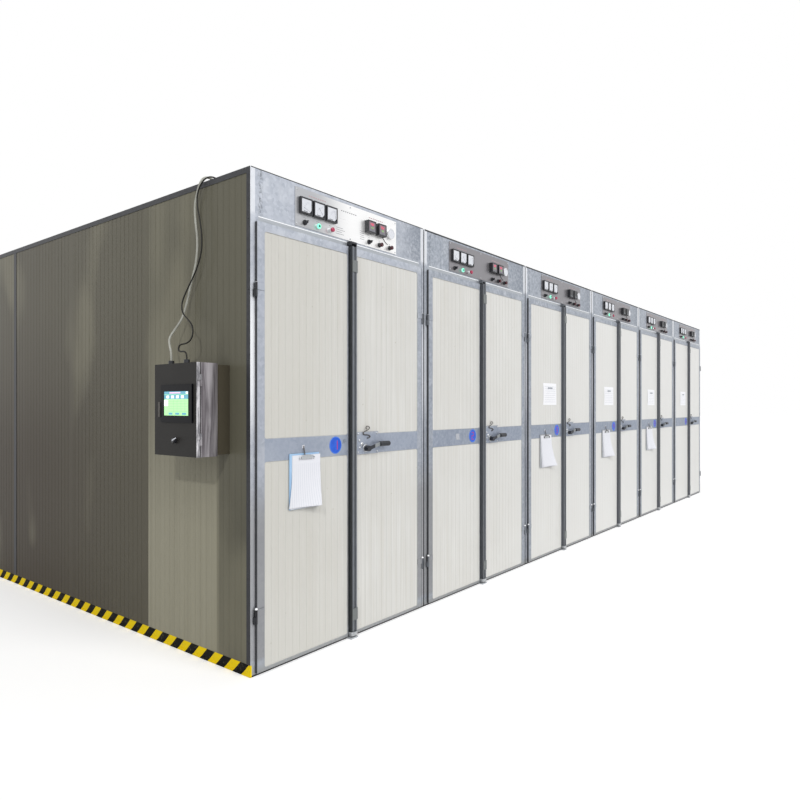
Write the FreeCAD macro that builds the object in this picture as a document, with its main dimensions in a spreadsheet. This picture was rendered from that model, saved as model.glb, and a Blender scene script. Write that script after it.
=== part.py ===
import FreeCAD, Part
import math
import os
import re
import Sketcher

Vector = FreeCAD.Vector
Rotation = FreeCAD.Rotation

doc = FreeCAD.newDocument("curing_chambers")

# Driving dimensions in millimetres, one sheet cell each
driving = {
    # The row and the shell of one chamber
    "bays": 6,
    "bay_pitch": 1500,
    "bay_gap": 12,
    "total_height": 2600,
    "chamber_depth": 3800,
    "wall_thick": 50,
    "post_sheet": 3,
    "side_flange": 30,
    "sill_height": 8,
    "panel_pitch": 950,
    "panel_joint": 2,
    "wall_rib_pitch": 50,
    "wall_rib_width": 22,
    "wall_rib_depth": 0.8,
    "roof_panel_count": 4,
    # Head rail and header
    "header_height": 290,
    "head_rail_height": 46,
    "header_return": 40,
    "trim_leg": 30,
    "cover_width": 44,
    "cover_thick": 2,
    "cover_joint": 3,
    # Door leaves
    "leaf_lap": 17,
    "body_gap": 8,
    "lip_clear": 6,
    "lip_thick": 6,
    "leaf_thick": 50,
    "floor_gap": 5,
    "seam_offset": 22,
    "meeting_gap": 8,
    "stile_width": 48,
    "edge_stile": 8,
    "top_rail": 45,
    "bottom_rail": 17,
    "mid_rail_base": 1091,
    "mid_rail_height": 119,
    "window_radius": 14,
    "infill_recess": 3,
    "infill_rib_pitch": 50,
    "infill_rib_width": 22,
    "infill_rib_depth": 0.8,
    # Leaf hinges
    "hinge_offset": 8,
    "hinge_proud": 14,
    "barrel_radius": 6.5,
    "barrel_height": 74,
    "hinge_pin_radius": 3.5,
    "pin_clear": 0.3,
    "knuckle_gap": 1,
    "upper_hinge_drop": 352,
    "lower_hinge_rise": 292,
    "strap_length": 46,
    "strap_thick": 3,
    "hinge_foot": 11,
    # Lock bar on the meeting edge of the right leaf
    "bar_width": 40,
    "bar_proud": 25,
    "bar_lift": 28,
    "bar_groove": 14,
    "bar_groove_depth": 4,
    "clamp_sheet": 4,
    "clamp_foot": 26,
    "clamp_height": 70,
    "upper_clamp_drop": 152,
    "lower_clamp_rise": 97,
    "keeper_width": 52,
    "keeper_proud": 32,
    "keeper_clear": 5,
    "keeper_slot_depth": 12,
    "floor_keeper_width": 60,
    "floor_keeper_reach": 40,
    # Latch plate and lever
    "latch_edge": 64,
    "latch_plate_width": 200,
    "latch_plate_height": 135,
    "latch_plate_drop": 3,
    "latch_plate_sheet": 3,
    "hub_edge": 144,
    "hub_rise": 34,
    "hub_radius": 17,
    "hub_length": 28,
    "spindle_radius": 6,
    "lever_reach": 190,
    "lever_rise": 24,
    "arm_width": 22,
    "arm_thick": 6,
    "grip_length": 92,
    "grip_radius": 16,
    "grip_rounding": 6,
    # Instrument plate in the header
    "plate_width": 881,
    "plate_height": 212,
    "plate_drop": 235,
    "plate_sheet": 3,
    "control_spacing": 100,
    "control_inner": 170,
    "upper_row_rise": 117,
    "lower_row_rise": 28,
    "meter_size": 88,
    "meter_depth": 15,
    "meter_rim": 5,
    "meter_corner": 22,
    "face_thick": 1.5,
    "controller_size": 74,
    "controller_depth": 30,
    "controller_bezel": 7,
    "dial_radius": 33,
    "dial_depth": 18,
    "dial_rim": 4,
    "button_radius": 13,
    "button_length": 28,
    "collar_radius": 15,
    "collar_length": 7,
    "knob_length": 27,
    "knob_width": 9,
    "knob_proud": 28,
    "lamp_length": 20,
    # Hazard tape on the foot of the left end wall
    "tape_height": 50,
    "tape_thick": 0.8,
    "tape_lift": 4,
    # Control box on the left end wall
    "box_from_front": 164,
    "box_width": 376,
    "box_base": 1122,
    "box_height": 478,
    "box_shell_depth": 180,
    "box_sheet": 2,
    "box_rear_depth": 80,
    "box_rear_inset": 7,
    "box_door_gap": 5,
    "box_door_thick": 20,
    "box_hinge_radius": 5,
    "box_hinge_offset": 6,
    "box_hinge_height": 60,
    "box_hinge_pin": 2.5,
    "box_hinge_inset": 60,
    "screen_width": 278,
    "screen_height": 196,
    "screen_base": 1295,
    "screen_from_front": 194,
    "screen_thick": 8,
    "display_width": 218,
    "display_height": 126,
    "display_depth": 2,
    "switch_from_front": 351,
    "switch_height": 1202,
    "switch_radius": 14,
    "switch_length": 16,
    "pull_from_front": 482,
    "pull_base": 1322,
    "pull_width": 16,
    "pull_height": 78,
    "pull_proud": 12,
    # Cables and their glands
    "grey_diameter": 12,
    "black_diameter": 8,
    "gland_radius": 15,
    "gland_height": 26,
    "gland_nut_radius": 19,
    "gland_nut_height": 8,
}

# Sizes that follow from the driving ones, as sheet expressions
derived = {
    "unit_width": "bay_pitch - bay_gap",
    "row_length": "bays * bay_pitch - bay_gap",
    "row_left": "0 - row_length / 2",
    "front_plane": "0 - wall_thick / 2",
    "post_flange": "wall_thick + post_sheet",
    "inner_width": "unit_width - 2 * post_flange",
    "wall_top": "total_height - post_sheet",
    "wall_height": "wall_top - sill_height",
    "wall_length": "chamber_depth - wall_thick - post_sheet",
    "roof_underside": "wall_top - wall_thick",
    "head_rail_base": "total_height - header_height",
    "head_top": "head_rail_base + head_rail_height",
    "leaf_left": "post_flange - leaf_lap",
    "leaf_top": "head_rail_base + leaf_lap",
    "leaf_bottom": "sill_height + floor_gap",
    "leaf_height": "leaf_top - leaf_bottom",
    "leaf_proud": "lip_clear + lip_thick",
    "leaf_rebate": "leaf_lap + body_gap",
    "seam": "unit_width / 2 - seam_offset",
    "left_leaf_width": "seam - meeting_gap / 2 - leaf_left",
    "right_leaf_width": "unit_width - leaf_left - seam - meeting_gap / 2",
    "right_leaf_end": "leaf_left + right_leaf_width",
    "hinge_across": "leaf_left - hinge_offset",
    "upper_hinge_height": "leaf_top - upper_hinge_drop",
    "lower_hinge_height": "leaf_bottom + lower_hinge_rise",
    "upper_clamp_height": "leaf_top - upper_clamp_drop",
    "lower_clamp_height": "leaf_bottom + lower_clamp_rise",
    "latch_plate_base": "mid_rail_base - latch_plate_drop",
    "hub_height": "latch_plate_base + hub_rise",
    "bar_across": "right_leaf_end - bar_width",
    "hub_across": "right_leaf_end - hub_edge",
    "hub_foot": "leaf_proud + latch_plate_sheet",
    "plate_middle": "unit_width / 2",
    "plate_base": "total_height - plate_drop",
    "upper_row_height": "plate_base + upper_row_rise",
    "lower_row_height": "plate_base + lower_row_rise",
    "wall_outside": "row_left + post_sheet",
    "box_door_front": "box_shell_depth + box_door_gap + box_door_thick",
    "box_near": "front_plane + box_from_front",
    "box_hinge_across": "wall_outside - box_shell_depth - box_door_gap / 2",
    "box_hinge_along": "box_near - box_hinge_offset",
}


def expression(text):
    """Turn plain size names into references to the sheet."""
    def reference(found):
        word = found.group(0)
        if word in derived:
            return "(" + expression(derived[word]) + ")"
        if word in driving:
            return "sizes." + word
        return word
    return re.sub(r"[a-z][a-z_]*", reference, str(text))


def fill_sheet():
    sheet = doc.addObject("Spreadsheet::Sheet", "sizes")
    for row, (alias, number) in enumerate(driving.items(), start=1):
        sheet.set(f"A{row}", alias.replace("_", " "))
        sheet.set(f"B{row}", str(number))
        sheet.setAlias(f"B{row}", alias)
    doc.recompute()
    return sheet


sizes = fill_sheet()


def bind(thing, **formulas):
    """Bind properties to size formulas; a double underscore stands for a dot."""
    for path, text in formulas.items():
        thing.setExpression(path.replace("__", "."), expression(text))
    return thing


def place(thing, x="0", y="0", z="0"):
    return bind(thing, Placement__Base__x=x, Placement__Base__y=y, Placement__Base__z=z)


def block(name, x, y, z, along_x, along_y, along_z):
    box = doc.addObject("Part::Box", name)
    bind(box, Length=along_x, Width=along_y, Height=along_z)
    return place(box, x, y, z)


# Turns that point a round piece's axis somewhere other than up
TO_FRONT = Rotation(Vector(1, 0, 0), 90)
TO_LEFT = Rotation(Vector(0, 1, 0), -90)
TO_RIGHT = Rotation(Vector(0, 1, 0), 90)


def rod(name, x, y, z, radius, length, turn=None):
    cylinder = doc.addObject("Part::Cylinder", name)
    bind(cylinder, Radius=radius, Height=length)
    if turn:
        cylinder.Placement = FreeCAD.Placement(Vector(), turn)
    return place(cylinder, x, y, z)


def fuse(name, *pieces):
    joined = doc.addObject("Part::MultiFuse", name)
    joined.Shapes = list(pieces)
    joined.Refine = True
    return joined


def cut(name, base, tool):
    cutting = doc.addObject("Part::Cut", name)
    cutting.Base = base
    cutting.Tool = tool
    return cutting


def together(name, pieces):
    group = doc.addObject("Part::Compound", name)
    group.Links = list(pieces)
    return group


def new_body(name, x="0", y="0", z="0", turn=None):
    body = doc.addObject("PartDesign::Body", name)
    if turn:
        body.Placement = FreeCAD.Placement(Vector(), turn)
    return place(body, x, y, z)


def outline(body, name, role, corners):
    """A closed outline on one of the body's own planes, every corner held by two formulas."""
    plane = [item for item in body.Origin.OriginFeatures if item.Role == role][0]
    sketch = body.newObject("Sketcher::SketchObject", name)
    sketch.AttachmentSupport = [(plane, "")]
    sketch.MapMode = "FlatFace"
    count = len(corners)
    turns = [2 * math.pi * index / count for index in range(count)]
    ring = [Vector(100 + 90 * math.cos(turn), 100 + 90 * math.sin(turn), 0) for turn in turns]
    for index in range(count):
        sketch.addGeometry(Part.LineSegment(ring[index], ring[(index + 1) % count]), False)
    for index in range(count):
        sketch.addConstraint(Sketcher.Constraint("Coincident", index, 2, (index + 1) % count, 1))
    for index, (across, up) in enumerate(corners):
        for kind, axis, formula in (("DistanceX", -2, across), ("DistanceY", -1, up)):
            if formula == "0":
                sketch.addConstraint(Sketcher.Constraint("PointOnObject", index, 1, axis))
                continue
            held = sketch.addConstraint(Sketcher.Constraint(kind, -1, 1, index, 1, 50.0))
            sketch.setExpression(f"Constraints[{held}]", expression(formula))
    return sketch


def rectangle(body, name, role, x_from, y_from, x_to, y_to):
    return outline(body, name, role, [(x_from, y_from), (x_to, y_from), (x_to, y_to), (x_from, y_to)])


def pad(body, sketch, name, length, reverse=False):
    feature = body.newObject("PartDesign::Pad", name)
    feature.Profile = sketch
    feature.Reversed = reverse
    return bind(feature, Length=length)


def pocket_through(body, sketch, name, reverse=False):
    feature = body.newObject("PartDesign::Pocket", name)
    feature.Profile = sketch
    feature.Type = "ThroughAll"
    feature.Reversed = reverse
    return feature


def mirrored(name, source, across="plate_middle"):
    """The same piece on the other side of a chamber's middle."""
    twin = doc.addObject("Part::Mirroring", name)
    twin.Source = source
    twin.Normal = Vector(1, 0, 0)
    return bind(twin, Base__x=across)


def copy_at(name, source, x="0", y="0", z="0"):
    link = doc.addObject("App::Link", name)
    link.LinkedObject = source
    link.LinkTransform = True
    return place(link, x, y, z)


nodes = {}


def node(label, thing):
    thing.Label = label
    nodes[label] = thing


bays = int(sizes.bays)


def bay_start(index):
    return f"row_left + {index} * bay_pitch"


def in_every_bay(label, *pieces):
    """One node with these pieces of the first chamber repeated in each chamber of the row."""
    copies = []
    for index in range(bays):
        for piece in pieces:
            copies.append(copy_at(f"{piece.Name}_at_{index + 1}", piece, bay_start(index), "front_plane"))
    node(label, together(label, copies))


# Floor frame: two long flat bars and one cross bar under each side wall
front_sill = block("front_sill", "row_left", "front_plane", "0", "row_length", "wall_thick", "sill_height")
rear_sill = block("rear_sill", "row_left", "front_plane + chamber_depth - wall_thick", "0",
                  "row_length", "wall_thick", "sill_height")
node("sill_bars", together("sill_bars", [front_sill, rear_sill]))

cross_bar = block("cross_bar", "0", "wall_thick", "0", "post_flange", "chamber_depth - 2 * wall_thick",
                  "sill_height")
in_every_bay("cross_bars", cross_bar, mirrored("cross_bar_right", cross_bar))

# Front posts: folded angles that wrap the front corners of the side walls
post = new_body("front_post", z="sill_height")
post_outline = outline(post, "post_outline", "XY_Plane", [
    ("0", "0"), ("post_flange", "0"), ("post_flange", "post_sheet"),
    ("post_sheet", "post_sheet"), ("post_sheet", "side_flange"), ("0", "side_flange")])
pad(post, post_outline, "post_height", "total_height - sill_height")
in_every_bay("front_posts", post, mirrored("front_post_right", post))

# Head rails: angles over the doors whose lower leg carries the lintel panel
rail = new_body("head_rail", "post_flange", "0", "head_rail_base")
rail_outline = outline(rail, "rail_outline", "YZ_Plane", [
    ("0", "0"), ("post_flange", "0"), ("post_flange", "post_sheet"),
    ("post_sheet", "post_sheet"), ("post_sheet", "head_rail_height"), ("0", "head_rail_height")])
pad(rail, rail_outline, "rail_length", "inner_width")
in_every_bay("head_rails", rail)

lintel = block("lintel_panel", "post_flange", "post_sheet", "head_rail_base + post_sheet",
               "inner_width", "wall_thick", "roof_underside - head_rail_base - post_sheet")
in_every_bay("lintel_panels", lintel)

# Header sheets: front face of the header, folded back over the roof edge
header = new_body("header_sheet", "post_flange", "0", "head_top")
header_outline = outline(header, "header_outline", "YZ_Plane", [
    ("0", "0"), ("post_sheet", "0"), ("post_sheet", "wall_top - head_top"),
    ("header_return", "wall_top - head_top"), ("header_return", "total_height - head_top"),
    ("0", "total_height - head_top")])
pad(header, header_outline, "header_length", "inner_width")
in_every_bay("header_sheets", header)


def ribbed_panel(name, length, height, pitch, groove_width, groove_depth, thick="wall_thick"):
    """A sandwich panel with upright grooves pressed into the sheet on its first face."""
    body = new_body(name)
    pad(body, rectangle(body, name + "_plan", "XY_Plane", "0", "0", length, thick), name + "_height", height)
    groove = pocket_through(body, rectangle(
        body, name + "_groove_plan", "XY_Plane", f"{pitch} / 2", "0",
        f"{pitch} / 2 + {groove_width}", groove_depth), name + "_groove", True)
    doc.recompute()
    grooves = body.newObject("PartDesign::LinearPattern", name + "_grooves")
    grooves.Originals = [groove]
    grooves.Direction = (groove.Profile[0], ["H_Axis"])
    bind(grooves, Occurrences=f"floor(({length}) / {pitch})",
         Length=f"(floor(({length}) / {pitch}) - 1) * {pitch}")
    body.Tip = grooves
    return body


def wall_panel(name, length):
    return ribbed_panel(name, length, "wall_height", "wall_rib_pitch", "wall_rib_width", "wall_rib_depth")


# End walls: sandwich panels side by side, ribbed faces outwards
full_panels = int(sizes.chamber_depth // sizes.panel_pitch) - 1
last_panel = f"wall_length - {full_panels} * panel_pitch"
wide_panel = wall_panel("end_wall_panel", "panel_pitch - panel_joint")
narrow_panel = wall_panel("end_wall_last_panel", last_panel)


def end_wall(label, outside, turn, towards_back):
    """One end wall: the panels stand on the floor frame from the front post to the rear wall."""
    panels = []
    for index in range(full_panels + 1):
        source = wide_panel if index < full_panels else narrow_panel
        width = "panel_pitch - panel_joint" if index < full_panels else last_panel
        start = f"front_plane + post_sheet + {index} * panel_pitch"
        along = start if towards_back else f"{start} + {width}"
        panel = doc.addObject("App::Link", f"{label}_panel_{index + 1}")
        panel.LinkedObject = source
        panel.LinkTransform = True
        panel.Placement = FreeCAD.Placement(Vector(), Rotation(Vector(0, 0, 1), turn))
        panels.append(place(panel, outside, along, "sill_height"))
    node(label, together(label, panels))


end_wall("left_end_wall", "wall_outside", -90, False)
end_wall("right_end_wall", "0 - wall_outside", 90, True)

# Partition walls: each chamber has its own, so two stand side by side with a narrow gap
left_partition = block("left_partition", "post_sheet", "post_sheet", "sill_height",
                       "wall_thick", "wall_length", "wall_height")
right_partition = mirrored("right_partition", left_partition)
partitions = []
for index in range(bays):
    if index > 0:
        partitions.append(copy_at(f"left_partition_{index + 1}", left_partition, bay_start(index), "front_plane"))
    if index < bays - 1:
        partitions.append(copy_at(f"right_partition_{index + 1}", right_partition, bay_start(index), "front_plane"))
node("partition_walls", together("partition_walls", partitions))

# Rear wall: one ribbed panel closes the back of each chamber
back_panel = wall_panel("back_wall_panel", "unit_width - 2 * post_sheet")
back_panels = []
for index in range(bays):
    panel = doc.addObject("App::Link", f"back_wall_panel_{index + 1}")
    panel.LinkedObject = back_panel
    panel.LinkTransform = True
    panel.Placement = FreeCAD.Placement(Vector(), Rotation(Vector(0, 0, 1), 180))
    back_panels.append(place(panel, bay_start(index) + " + unit_width - post_sheet",
                             "front_plane + chamber_depth", "sill_height"))
node("back_walls", together("back_walls", back_panels))

# Roof: panels laid between the side walls of each chamber
roof_panels = []
roof_pitch = "(wall_length / roof_panel_count)"
for index in range(int(sizes.roof_panel_count)):
    roof_panels.append(block(f"roof_panel_{index + 1}", "post_flange", f"post_sheet + {index} * {roof_pitch}",
                             "roof_underside", "inner_width", f"{roof_pitch} - panel_joint", "wall_thick"))
in_every_bay("roof_panels", *roof_panels)

# Trims: angles over the top edges and the rear corners of the two ends, and a flat cover on one wall joint
top_trim = new_body("top_trim", "row_left", "front_plane + side_flange", "total_height - trim_leg")
top_trim_outline = outline(top_trim, "top_trim_outline", "XZ_Plane", [
    ("0", "0"), ("post_sheet", "0"), ("post_sheet", "trim_leg - post_sheet"),
    ("trim_leg", "trim_leg - post_sheet"), ("trim_leg", "trim_leg"), ("0", "trim_leg")])
pad(top_trim, top_trim_outline, "top_trim_length", "chamber_depth - side_flange - trim_leg", True)

corner_trim = new_body("corner_trim", "row_left", "front_plane + chamber_depth - trim_leg", "sill_height")
corner_trim_outline = outline(corner_trim, "corner_trim_outline", "XY_Plane", [
    ("0", "0"), ("post_sheet", "0"), ("post_sheet", "trim_leg"),
    ("trim_leg", "trim_leg"), ("trim_leg", "trim_leg + post_sheet"), ("0", "trim_leg + post_sheet")])
pad(corner_trim, corner_trim_outline, "corner_trim_height", "total_height - sill_height")

rear_trim = new_body("rear_trim", "row_left + trim_leg", "front_plane + chamber_depth - trim_leg",
                     "total_height - trim_leg")
rear_trim_outline = outline(rear_trim, "rear_trim_outline", "YZ_Plane", [
    ("0", "trim_leg - post_sheet"), ("trim_leg", "trim_leg - post_sheet"), ("trim_leg", "0"),
    ("trim_leg + post_sheet", "0"), ("trim_leg + post_sheet", "trim_leg"), ("0", "trim_leg")])
pad(rear_trim, rear_trim_outline, "rear_trim_length", "row_length - 2 * trim_leg")
tape_top = "(sill_height + tape_lift + tape_height)"
joint_cover = block("joint_cover", "wall_outside - cover_thick",
                    "front_plane + post_sheet + cover_joint * panel_pitch - (panel_joint + cover_width) / 2", tape_top,
                    "cover_thick", "cover_width", f"total_height - trim_leg - {tape_top}")
node("wall_trims", together("wall_trims", [
    joint_cover, mirrored("joint_cover_right", joint_cover, "0"), top_trim, mirrored("top_trim_right", top_trim, "0"),
    corner_trim, mirrored("corner_trim_right", corner_trim, "0"), rear_trim]))

tape = block("hazard_tape", "wall_outside - tape_thick", "front_plane + side_flange", "sill_height + tape_lift",
             "tape_thick", "chamber_depth - side_flange - trim_leg", "tape_height")
node("hazard_tape", tape)

# Leaf hinges: the lower knuckle and pin are welded to the post, the upper one to the leaf
def fixed_hinge(name, height):
    knuckle = rod(name + "_knuckle", "hinge_across", "0 - hinge_proud", f"{height} - barrel_height / 2",
                  "barrel_radius", "(barrel_height - knuckle_gap) / 2")
    pin = rod(name + "_pin", "hinge_across", "0 - hinge_proud", f"{height} - barrel_height / 2",
              "hinge_pin_radius", "barrel_height - knuckle_gap")
    foot = block(name + "_foot", "hinge_across - hinge_foot", "0 - hinge_proud",
                 f"{height} - barrel_height / 2", "hinge_foot", "hinge_proud",
                 "(barrel_height - knuckle_gap) / 2")
    return fuse(name, knuckle, pin, foot)


def leaf_hinge(name, height):
    """Knuckle and strap of one hinge's moving half, before its pin hole is bored."""
    base = f"{height} + knuckle_gap / 2"
    length = "(barrel_height - knuckle_gap) / 2"
    knuckle = rod(name + "_knuckle", "hinge_across", "0 - hinge_proud", base, "barrel_radius", length)
    strap = block(name + "_strap", "hinge_across", "0 - leaf_proud - strap_thick", base,
                  "hinge_offset + strap_length", "strap_thick", length)
    return [knuckle, strap]


hinge_heights = {"upper": "upper_hinge_height", "lower": "lower_hinge_height"}
fixed_hinges = []
for level, height in hinge_heights.items():
    half = fixed_hinge(f"fixed_{level}_hinge", height)
    fixed_hinges += [half, mirrored(f"fixed_{level}_hinge_right", half)]
in_every_bay("frame_hinges", *fixed_hinges)


# Door leaves: a framed panel whose front lip laps the posts and the head rail
def leaf_frame(name, width, meeting_stile):
    body = new_body(name + "_frame", "leaf_left", "0 - leaf_proud", "leaf_bottom")
    lip = rectangle(body, name + "_lip", "XZ_Plane", "0", "0", width, "leaf_height")
    pad(body, lip, name + "_lip_pad", "lip_thick", True)
    core = rectangle(body, name + "_core", "XZ_Plane", "leaf_rebate", "0", width, "leaf_height - leaf_rebate")
    pad(body, core, name + "_core_pad", "leaf_thick", True)
    lower = rectangle(body, name + "_lower_window", "XZ_Plane", "stile_width", "bottom_rail",
                      f"{width} - {meeting_stile}", "mid_rail_base - leaf_bottom")
    pocket_through(body, lower, name + "_lower_pocket")
    upper = rectangle(body, name + "_upper_window", "XZ_Plane", "stile_width",
                      "mid_rail_base + mid_rail_height - leaf_bottom",
                      f"{width} - {meeting_stile}", "leaf_height - top_rail")
    window = pocket_through(body, upper, name + "_upper_pocket")
    doc.recompute()
    round_uprights(body, window, name + "_corners", float(sizes.stile_width), getattr(sizes, meeting_stile))
    return body


def round_uprights(body, feature, name, inset, far_inset):
    """Round the corners of the windows: the edges that run through the leaf inside its stiles."""
    far = feature.Shape.BoundBox.XMax - float(far_inset)
    corners = []
    for number, edge in enumerate(feature.Shape.Edges, start=1):
        reach = edge.BoundBox
        through = reach.YLength > reach.XLength + reach.ZLength
        if through and inset - 1 < reach.Center.x < far + 1:
            corners.append(f"Edge{number}")
    rounding = body.newObject("PartDesign::Fillet", name)
    rounding.Base = (feature, corners)
    bind(rounding, Radius="window_radius")
    body.Tip = rounding


def leaf_infill(name, width, meeting_stile, base, height):
    """A ribbed insulating panel that fills one window of a leaf."""
    length = f"{width} - stile_width - {meeting_stile}"
    body = ribbed_panel(name, length, height, "infill_rib_pitch", "infill_rib_width", "infill_rib_depth",
                        "leaf_thick - infill_recess")
    place(body, "leaf_left + stile_width", "infill_recess - leaf_proud", base)
    doc.recompute()
    pattern = body.Tip
    reach = pattern.Shape.BoundBox
    corners = []
    for number, edge in enumerate(pattern.Shape.Edges, start=1):
        box = edge.BoundBox
        beside = min(box.Center.x - reach.XMin, reach.XMax - box.Center.x) < 1
        if beside and box.YLength > box.XLength + box.ZLength:
            corners.append(f"Edge{number}")
    rounding = body.newObject("PartDesign::Fillet", name + "_corners")
    rounding.Base = (pattern, corners)
    bind(rounding, Radius="window_radius")
    body.Tip = rounding
    return body


def leaf_infills(name, width, meeting_stile):
    lower = leaf_infill(name + "_lower_infill", width, meeting_stile, "leaf_bottom + bottom_rail",
                        "mid_rail_base - leaf_bottom - bottom_rail")
    upper = leaf_infill(name + "_upper_infill", width, meeting_stile, "mid_rail_base + mid_rail_height",
                        "leaf_top - top_rail - mid_rail_base - mid_rail_height")
    return together(name + "_infills", [lower, upper])


def bored_leaf(name, pieces):
    """Fuse the welded pieces of a leaf and bore its knuckles for the hinge pins."""
    for level, height in hinge_heights.items():
        pieces += leaf_hinge(f"{name}_{level}_hinge", height)
    bores = []
    for level, height in hinge_heights.items():
        bores.append(rod(f"{name}_{level}_bore", "hinge_across", "0 - hinge_proud", f"{height} - barrel_height / 2",
                         "hinge_pin_radius + pin_clear", "2 * barrel_height"))
    return cut(name, fuse(name + "_welded", *pieces), together(name + "_bores", bores))


left_leaf = bored_leaf("left_leaf", [leaf_frame("left_leaf", "left_leaf_width", "edge_stile")])
left_infills = leaf_infills("left_leaf", "left_leaf_width", "edge_stile")

# Lock bar, clamps, latch plate and spindle on the right leaf, all drawn as if hinged at the left
bar = new_body("lock_bar", "bar_across", "0 - leaf_proud - bar_proud", "leaf_bottom + bar_lift")
bar_outline = outline(bar, "bar_outline", "XY_Plane", [
    ("0", "0"), ("(bar_width - bar_groove) / 2", "0"), ("(bar_width - bar_groove) / 2", "bar_groove_depth"),
    ("(bar_width + bar_groove) / 2", "bar_groove_depth"), ("(bar_width + bar_groove) / 2", "0"),
    ("bar_width", "0"), ("bar_width", "bar_proud"), ("0", "bar_proud")])
pad(bar, bar_outline, "bar_length", "leaf_height - bar_lift")

clamps = []
for level in ("upper", "lower"):
    clamps.append(block(f"{level}_clamp_foot", "bar_across - clamp_foot", "0 - leaf_proud - clamp_sheet",
                        f"{level}_clamp_height", "clamp_foot", "clamp_sheet", "clamp_height"))
    clamps.append(block(f"{level}_clamp_side", "bar_across - clamp_sheet",
                        "0 - leaf_proud - bar_proud - clamp_sheet",
                        f"{level}_clamp_height", "clamp_sheet", "bar_proud + clamp_sheet", "clamp_height"))
    clamps.append(block(f"{level}_clamp_front", "bar_across", "0 - leaf_proud - bar_proud - clamp_sheet",
                        f"{level}_clamp_height", "bar_width", "clamp_sheet", "clamp_height"))

latch_plate = block("latch_plate", "right_leaf_end - latch_edge - latch_plate_width",
                    "0 - leaf_proud - latch_plate_sheet", "latch_plate_base",
                    "latch_plate_width", "latch_plate_sheet", "latch_plate_height")
spindle = rod("spindle", "hub_across", "0 - hub_foot", "hub_height", "spindle_radius", "hub_length", TO_FRONT)
right_leaf = mirrored("right_leaf_frame", bored_leaf(
    "right_leaf",
    [leaf_frame("right_leaf", "right_leaf_width", "stile_width"), bar, latch_plate, spindle] + clamps))
right_infills = mirrored("right_leaf_infill_pair", leaf_infills("right_leaf", "right_leaf_width", "stile_width"))

# Latch lever: a cranked arm on a boss, with a moulded grip
hub = rod("hub", "hub_across", "0 - hub_foot - pin_clear", "hub_height", "hub_radius", "hub_length + arm_thick",
          TO_FRONT)
arm = new_body("arm", "hub_across - lever_reach", "0 - hub_foot - pin_clear - hub_length - arm_thick",
               "hub_height - arm_width / 2")
arm_outline = outline(arm, "arm_outline", "XZ_Plane", [
    ("lever_reach", "0"), ("lever_reach", "arm_width"), ("grip_length", "lever_rise + arm_width"),
    ("0", "lever_rise + arm_width"), ("0", "lever_rise"), ("grip_length", "lever_rise")])
pad(arm, arm_outline, "arm_pad", "arm_thick", True)
grip_stock = rod("grip_stock", "hub_across - lever_reach",
                 "0 - hub_foot - pin_clear - hub_length - arm_thick / 2",
                 "hub_height + lever_rise", "grip_radius", "grip_length", TO_RIGHT)
doc.recompute()
grip = doc.addObject("Part::Fillet", "grip")
grip.Base = grip_stock
rims = [number for number, edge in enumerate(grip_stock.Shape.Edges, start=1) if edge.Closed]
grip.Edges = [(number, float(sizes.grip_rounding), float(sizes.grip_rounding)) for number in rims]
lever_bore = rod("lever_bore", "hub_across", "0 - hub_foot", "hub_height", "spindle_radius + pin_clear",
                 "hub_length + pin_clear", TO_FRONT)
lever = mirrored("lever_right", cut("lever", fuse("lever_welded", hub, arm, grip), lever_bore))

for index in range(bays):
    for label, source in ((f"leaf_frame_{index + 1}_left", left_leaf),
                          (f"leaf_panels_{index + 1}_left", left_infills),
                          (f"leaf_frame_{index + 1}_right", right_leaf),
                          (f"leaf_panels_{index + 1}_right", right_infills),
                          (f"latch_lever_{index + 1}", lever)):
        node(label, copy_at(label, source, bay_start(index), "front_plane"))

# Keepers: an open hood over the top of each lock bar and a notched plate at its foot
bar_middle = "seam + meeting_gap / 2 + bar_width / 2"
hood = block("hood", bar_middle + " - keeper_width / 2", "0 - keeper_proud", "leaf_top + keeper_clear",
             "keeper_width", "keeper_proud", "head_top - leaf_top - keeper_clear")
hood_slot = block("hood_slot", bar_middle + " - bar_width / 2", "0 - keeper_proud", "leaf_top",
                  "bar_width", "keeper_proud - leaf_proud", "keeper_clear + keeper_slot_depth")
floor_plate = block("floor_plate", bar_middle + " - floor_keeper_width / 2", "0 - floor_keeper_reach", "0",
                    "floor_keeper_width", "floor_keeper_reach", "sill_height")
floor_notch = block("floor_notch", bar_middle + " - bar_width / 2", "0 - leaf_proud - bar_proud", "sill_height / 2",
                    "bar_width", "bar_proud", "sill_height")
in_every_bay("keepers", cut("top_keeper", hood, hood_slot), cut("floor_keeper", floor_plate, floor_notch))

# Instrument plate and what it carries
instrument_plate = block("instrument_plate", "plate_middle - plate_width / 2", "0 - plate_sheet", "plate_base",
                         "plate_width", "plate_sheet", "plate_height")
in_every_bay("instrument_plates", instrument_plate)

left_columns = ["plate_middle - control_inner - 2 * control_spacing",
                "plate_middle - control_inner - control_spacing",
                "plate_middle - control_inner"]
right_columns = ["plate_middle + control_inner",
                 "plate_middle + control_inner + control_spacing",
                 "plate_middle + control_inner + 2 * control_spacing"]

meter_cases = []
faces = []
for number, column in enumerate(left_columns, start=1):
    meter_cases.append(block(f"meter_case_{number}", f"{column} - meter_size / 2", "0 - plate_sheet - meter_depth",
                             "upper_row_height - meter_size / 2", "meter_size", "meter_depth", "meter_size"))
    face = new_body(f"meter_face_{number}", f"{column} - meter_size / 2 + meter_rim",
                    "0 - plate_sheet - meter_depth", "upper_row_height - meter_size / 2 + meter_rim")
    side = "meter_size - 2 * meter_rim"
    face_outline = outline(face, f"meter_face_outline_{number}", "XZ_Plane", [
        ("0", "0"), (f"{side} - meter_corner", "0"), (side, "meter_corner"), (side, side), ("0", side)])
    pad(face, face_outline, f"meter_face_pad_{number}", "face_thick")
    faces.append(face)
in_every_bay("meter_cases", *meter_cases)

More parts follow.
